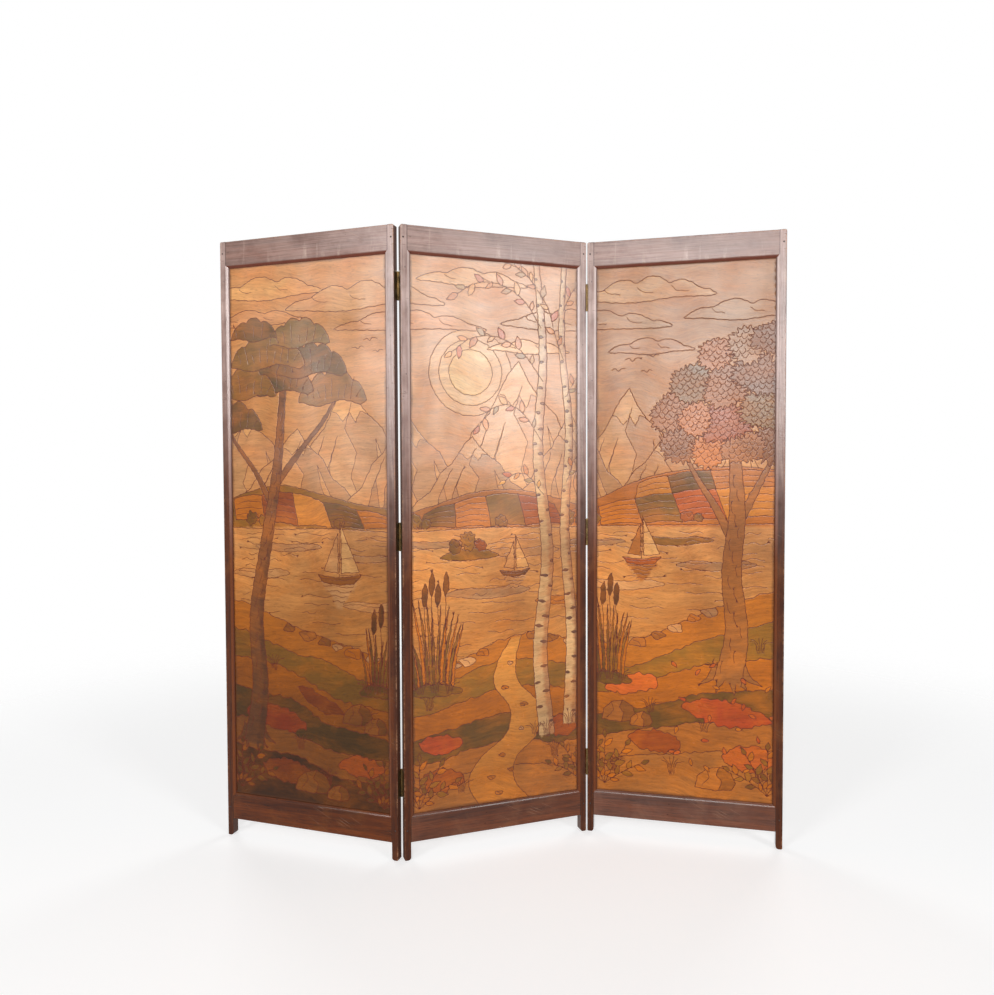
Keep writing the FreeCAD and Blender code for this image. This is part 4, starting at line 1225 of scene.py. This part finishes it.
items = draw()
for index, leaf in enumerate(leaves):
    woods = {"peg": peg_material(leaf)}
    for upright in (True, False):
        woods["frame", upright] = wood_material(leaf, upright)
        woods["bead", upright] = wood_material(leaf, upright, bead=True)
    for name in frame["record"]["behaviour"]["bodies"][leaf.body]:
        mesh = frame["nodes"][name].data
        mesh.materials.clear()
        mesh.materials.append(finish_of(name, woods))
    panel = carved_panel(leaf, index, items)
    panel.data.materials.append(picture_material(leaf))
    panel.data.materials.append(board_material(leaf))
    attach(panel, leaf.body)
    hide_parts(f"{leaf.name}_leaf_panel")


# Floor, light and camera

WHITE = (1.0, 1.0, 1.0, 1.0)
FLOOR_HALF = 3.6
FLOOR_GREY = (0.62, 0.62, 0.62, 1.0)
FLOOR_GLOW = 0.50
FLOOR_FADE = (1.5, 3.4)
SKY_LIGHT = 0.16

# Place, target, width, height and power of each light
SOFT_BOXES = {
    "left_box": ((-3.85, -4.6, 2.4), (-0.5, 0.0, 1.2), 1.4, 2.0, 122.0),
    "middle_box": ((-0.65, -5.85, 2.4), (0.4, 0.0, 1.2), 2.0, 2.0, 182.0),
    "right_box": ((3.85, -4.6, 2.4), (0.0, 0.0, 1.2), 1.4, 2.0, 120.0),
    "back_left_box": ((-3.2, 4.8, 2.6), (-0.2, 0.0, 0.9), 2.2, 2.2, 95.0),
    "back_right_box": ((3.2, 4.8, 2.6), (0.2, 0.0, 0.9), 2.2, 2.2, 95.0),
}

IMAGE_WIDTH = 994
FOCAL_PIXELS = 800.0
SENSOR = 36.0
CAMERA_PLACE = Vector((-0.00461, -2.22356, 1.0481))
CAMERA_YAW = math.radians(0.02)
CAMERA_PITCH = math.radians(-1.85)
CAMERA_ROLL = math.radians(-0.21)


def new_object(name, data):
    made = bpy.data.objects.new(name, data)
    bpy.context.scene.collection.objects.link(made)
    return made


def make_floor():
    """A pale floor that keeps the shadow and fades out into the white around it."""
    mesh = bpy.data.meshes.new("floor")
    corners = [(FLOOR_HALF * x, FLOOR_HALF * y, 0.0) for x, y in ((-1, -1), (1, -1), (1, 1), (-1, 1))]
    mesh.from_pydata(corners, [], [(0, 1, 2, 3)])
    material = bpy.data.materials.new("pale_floor")
    material.use_nodes = True
    nodes = Nodes(material.node_tree)
    matt = nodes.add("BsdfDiffuse", {"Color": FLOOR_GREY})
    glow = nodes.add("Emission", {"Color": WHITE, "Strength": nodes.times(nodes.seen_rays(), FLOOR_GLOW)})
    both = nodes.add("AddShader", {0: matt.outputs[0], 1: glow.outputs[0]})
    place = nodes.add("TexCoord").outputs["Object"]
    away = nodes.add("VectorMath", {0: place}, operation="LENGTH").outputs["Value"]
    clear = nodes.add("BsdfTransparent")
    ends = {0: nodes.ease(away, *FLOOR_FADE), 1: both.outputs[0], 2: clear.outputs[0]}
    nodes.add("OutputMaterial", {"Surface": nodes.add("MixShader", ends).outputs[0]})
    mesh.materials.append(material)
    new_object("floor", mesh)


def make_world():
    """White where it is seen, with only a little light of its own."""
    world = bpy.data.worlds.new("studio")
    bpy.context.scene.world = world
    world.use_nodes = True
    nodes = Nodes(world.node_tree)
    strength = nodes.ramp(nodes.seen_rays(), 0.0, 1.0, SKY_LIGHT, 1.0)
    background = nodes.add("Background", {"Color": WHITE, "Strength": strength})
    nodes.add("OutputWorld", {"Surface": background.outputs[0]})


def soft_box(name, place, target, width, height, power):
    light = bpy.data.lights.new(name, "AREA")
    light.shape = "RECTANGLE"
    light.size = width
    light.size_y = height
    light.energy = power
    lamp = new_object(name, light)
    lamp.location = place
    lamp.rotation_euler = (Vector(target) - Vector(place)).to_track_quat("-Z", "Y").to_euler()


def make_camera():
    data = bpy.data.cameras.new("photograph_view")
    data.sensor_fit = "HORIZONTAL"
    data.sensor_width = SENSOR
    data.lens = SENSOR * FOCAL_PIXELS / IMAGE_WIDTH
    camera = new_object("photograph_view", data)
    level = Vector((math.cos(CAMERA_YAW), -math.sin(CAMERA_YAW), 0.0))
    ahead = Vector((math.sin(CAMERA_YAW), math.cos(CAMERA_YAW), 0.0)) * math.cos(CAMERA_PITCH)
    ahead.z = math.sin(CAMERA_PITCH)
    above = level.cross(ahead)
    right = level * math.cos(CAMERA_ROLL) + above * math.sin(CAMERA_ROLL)
    above = right.cross(ahead)
    turned = Matrix((right, above, -ahead)).transposed().to_4x4()
    camera.matrix_world = Matrix.Translation(CAMERA_PLACE) @ turned
    bpy.context.scene.camera = camera


make_floor()
make_world()
for name, setting in SOFT_BOXES.items():
    soft_box(name, *setting)
make_camera()
bpy.context.scene.view_settings.view_transform = "Standard"
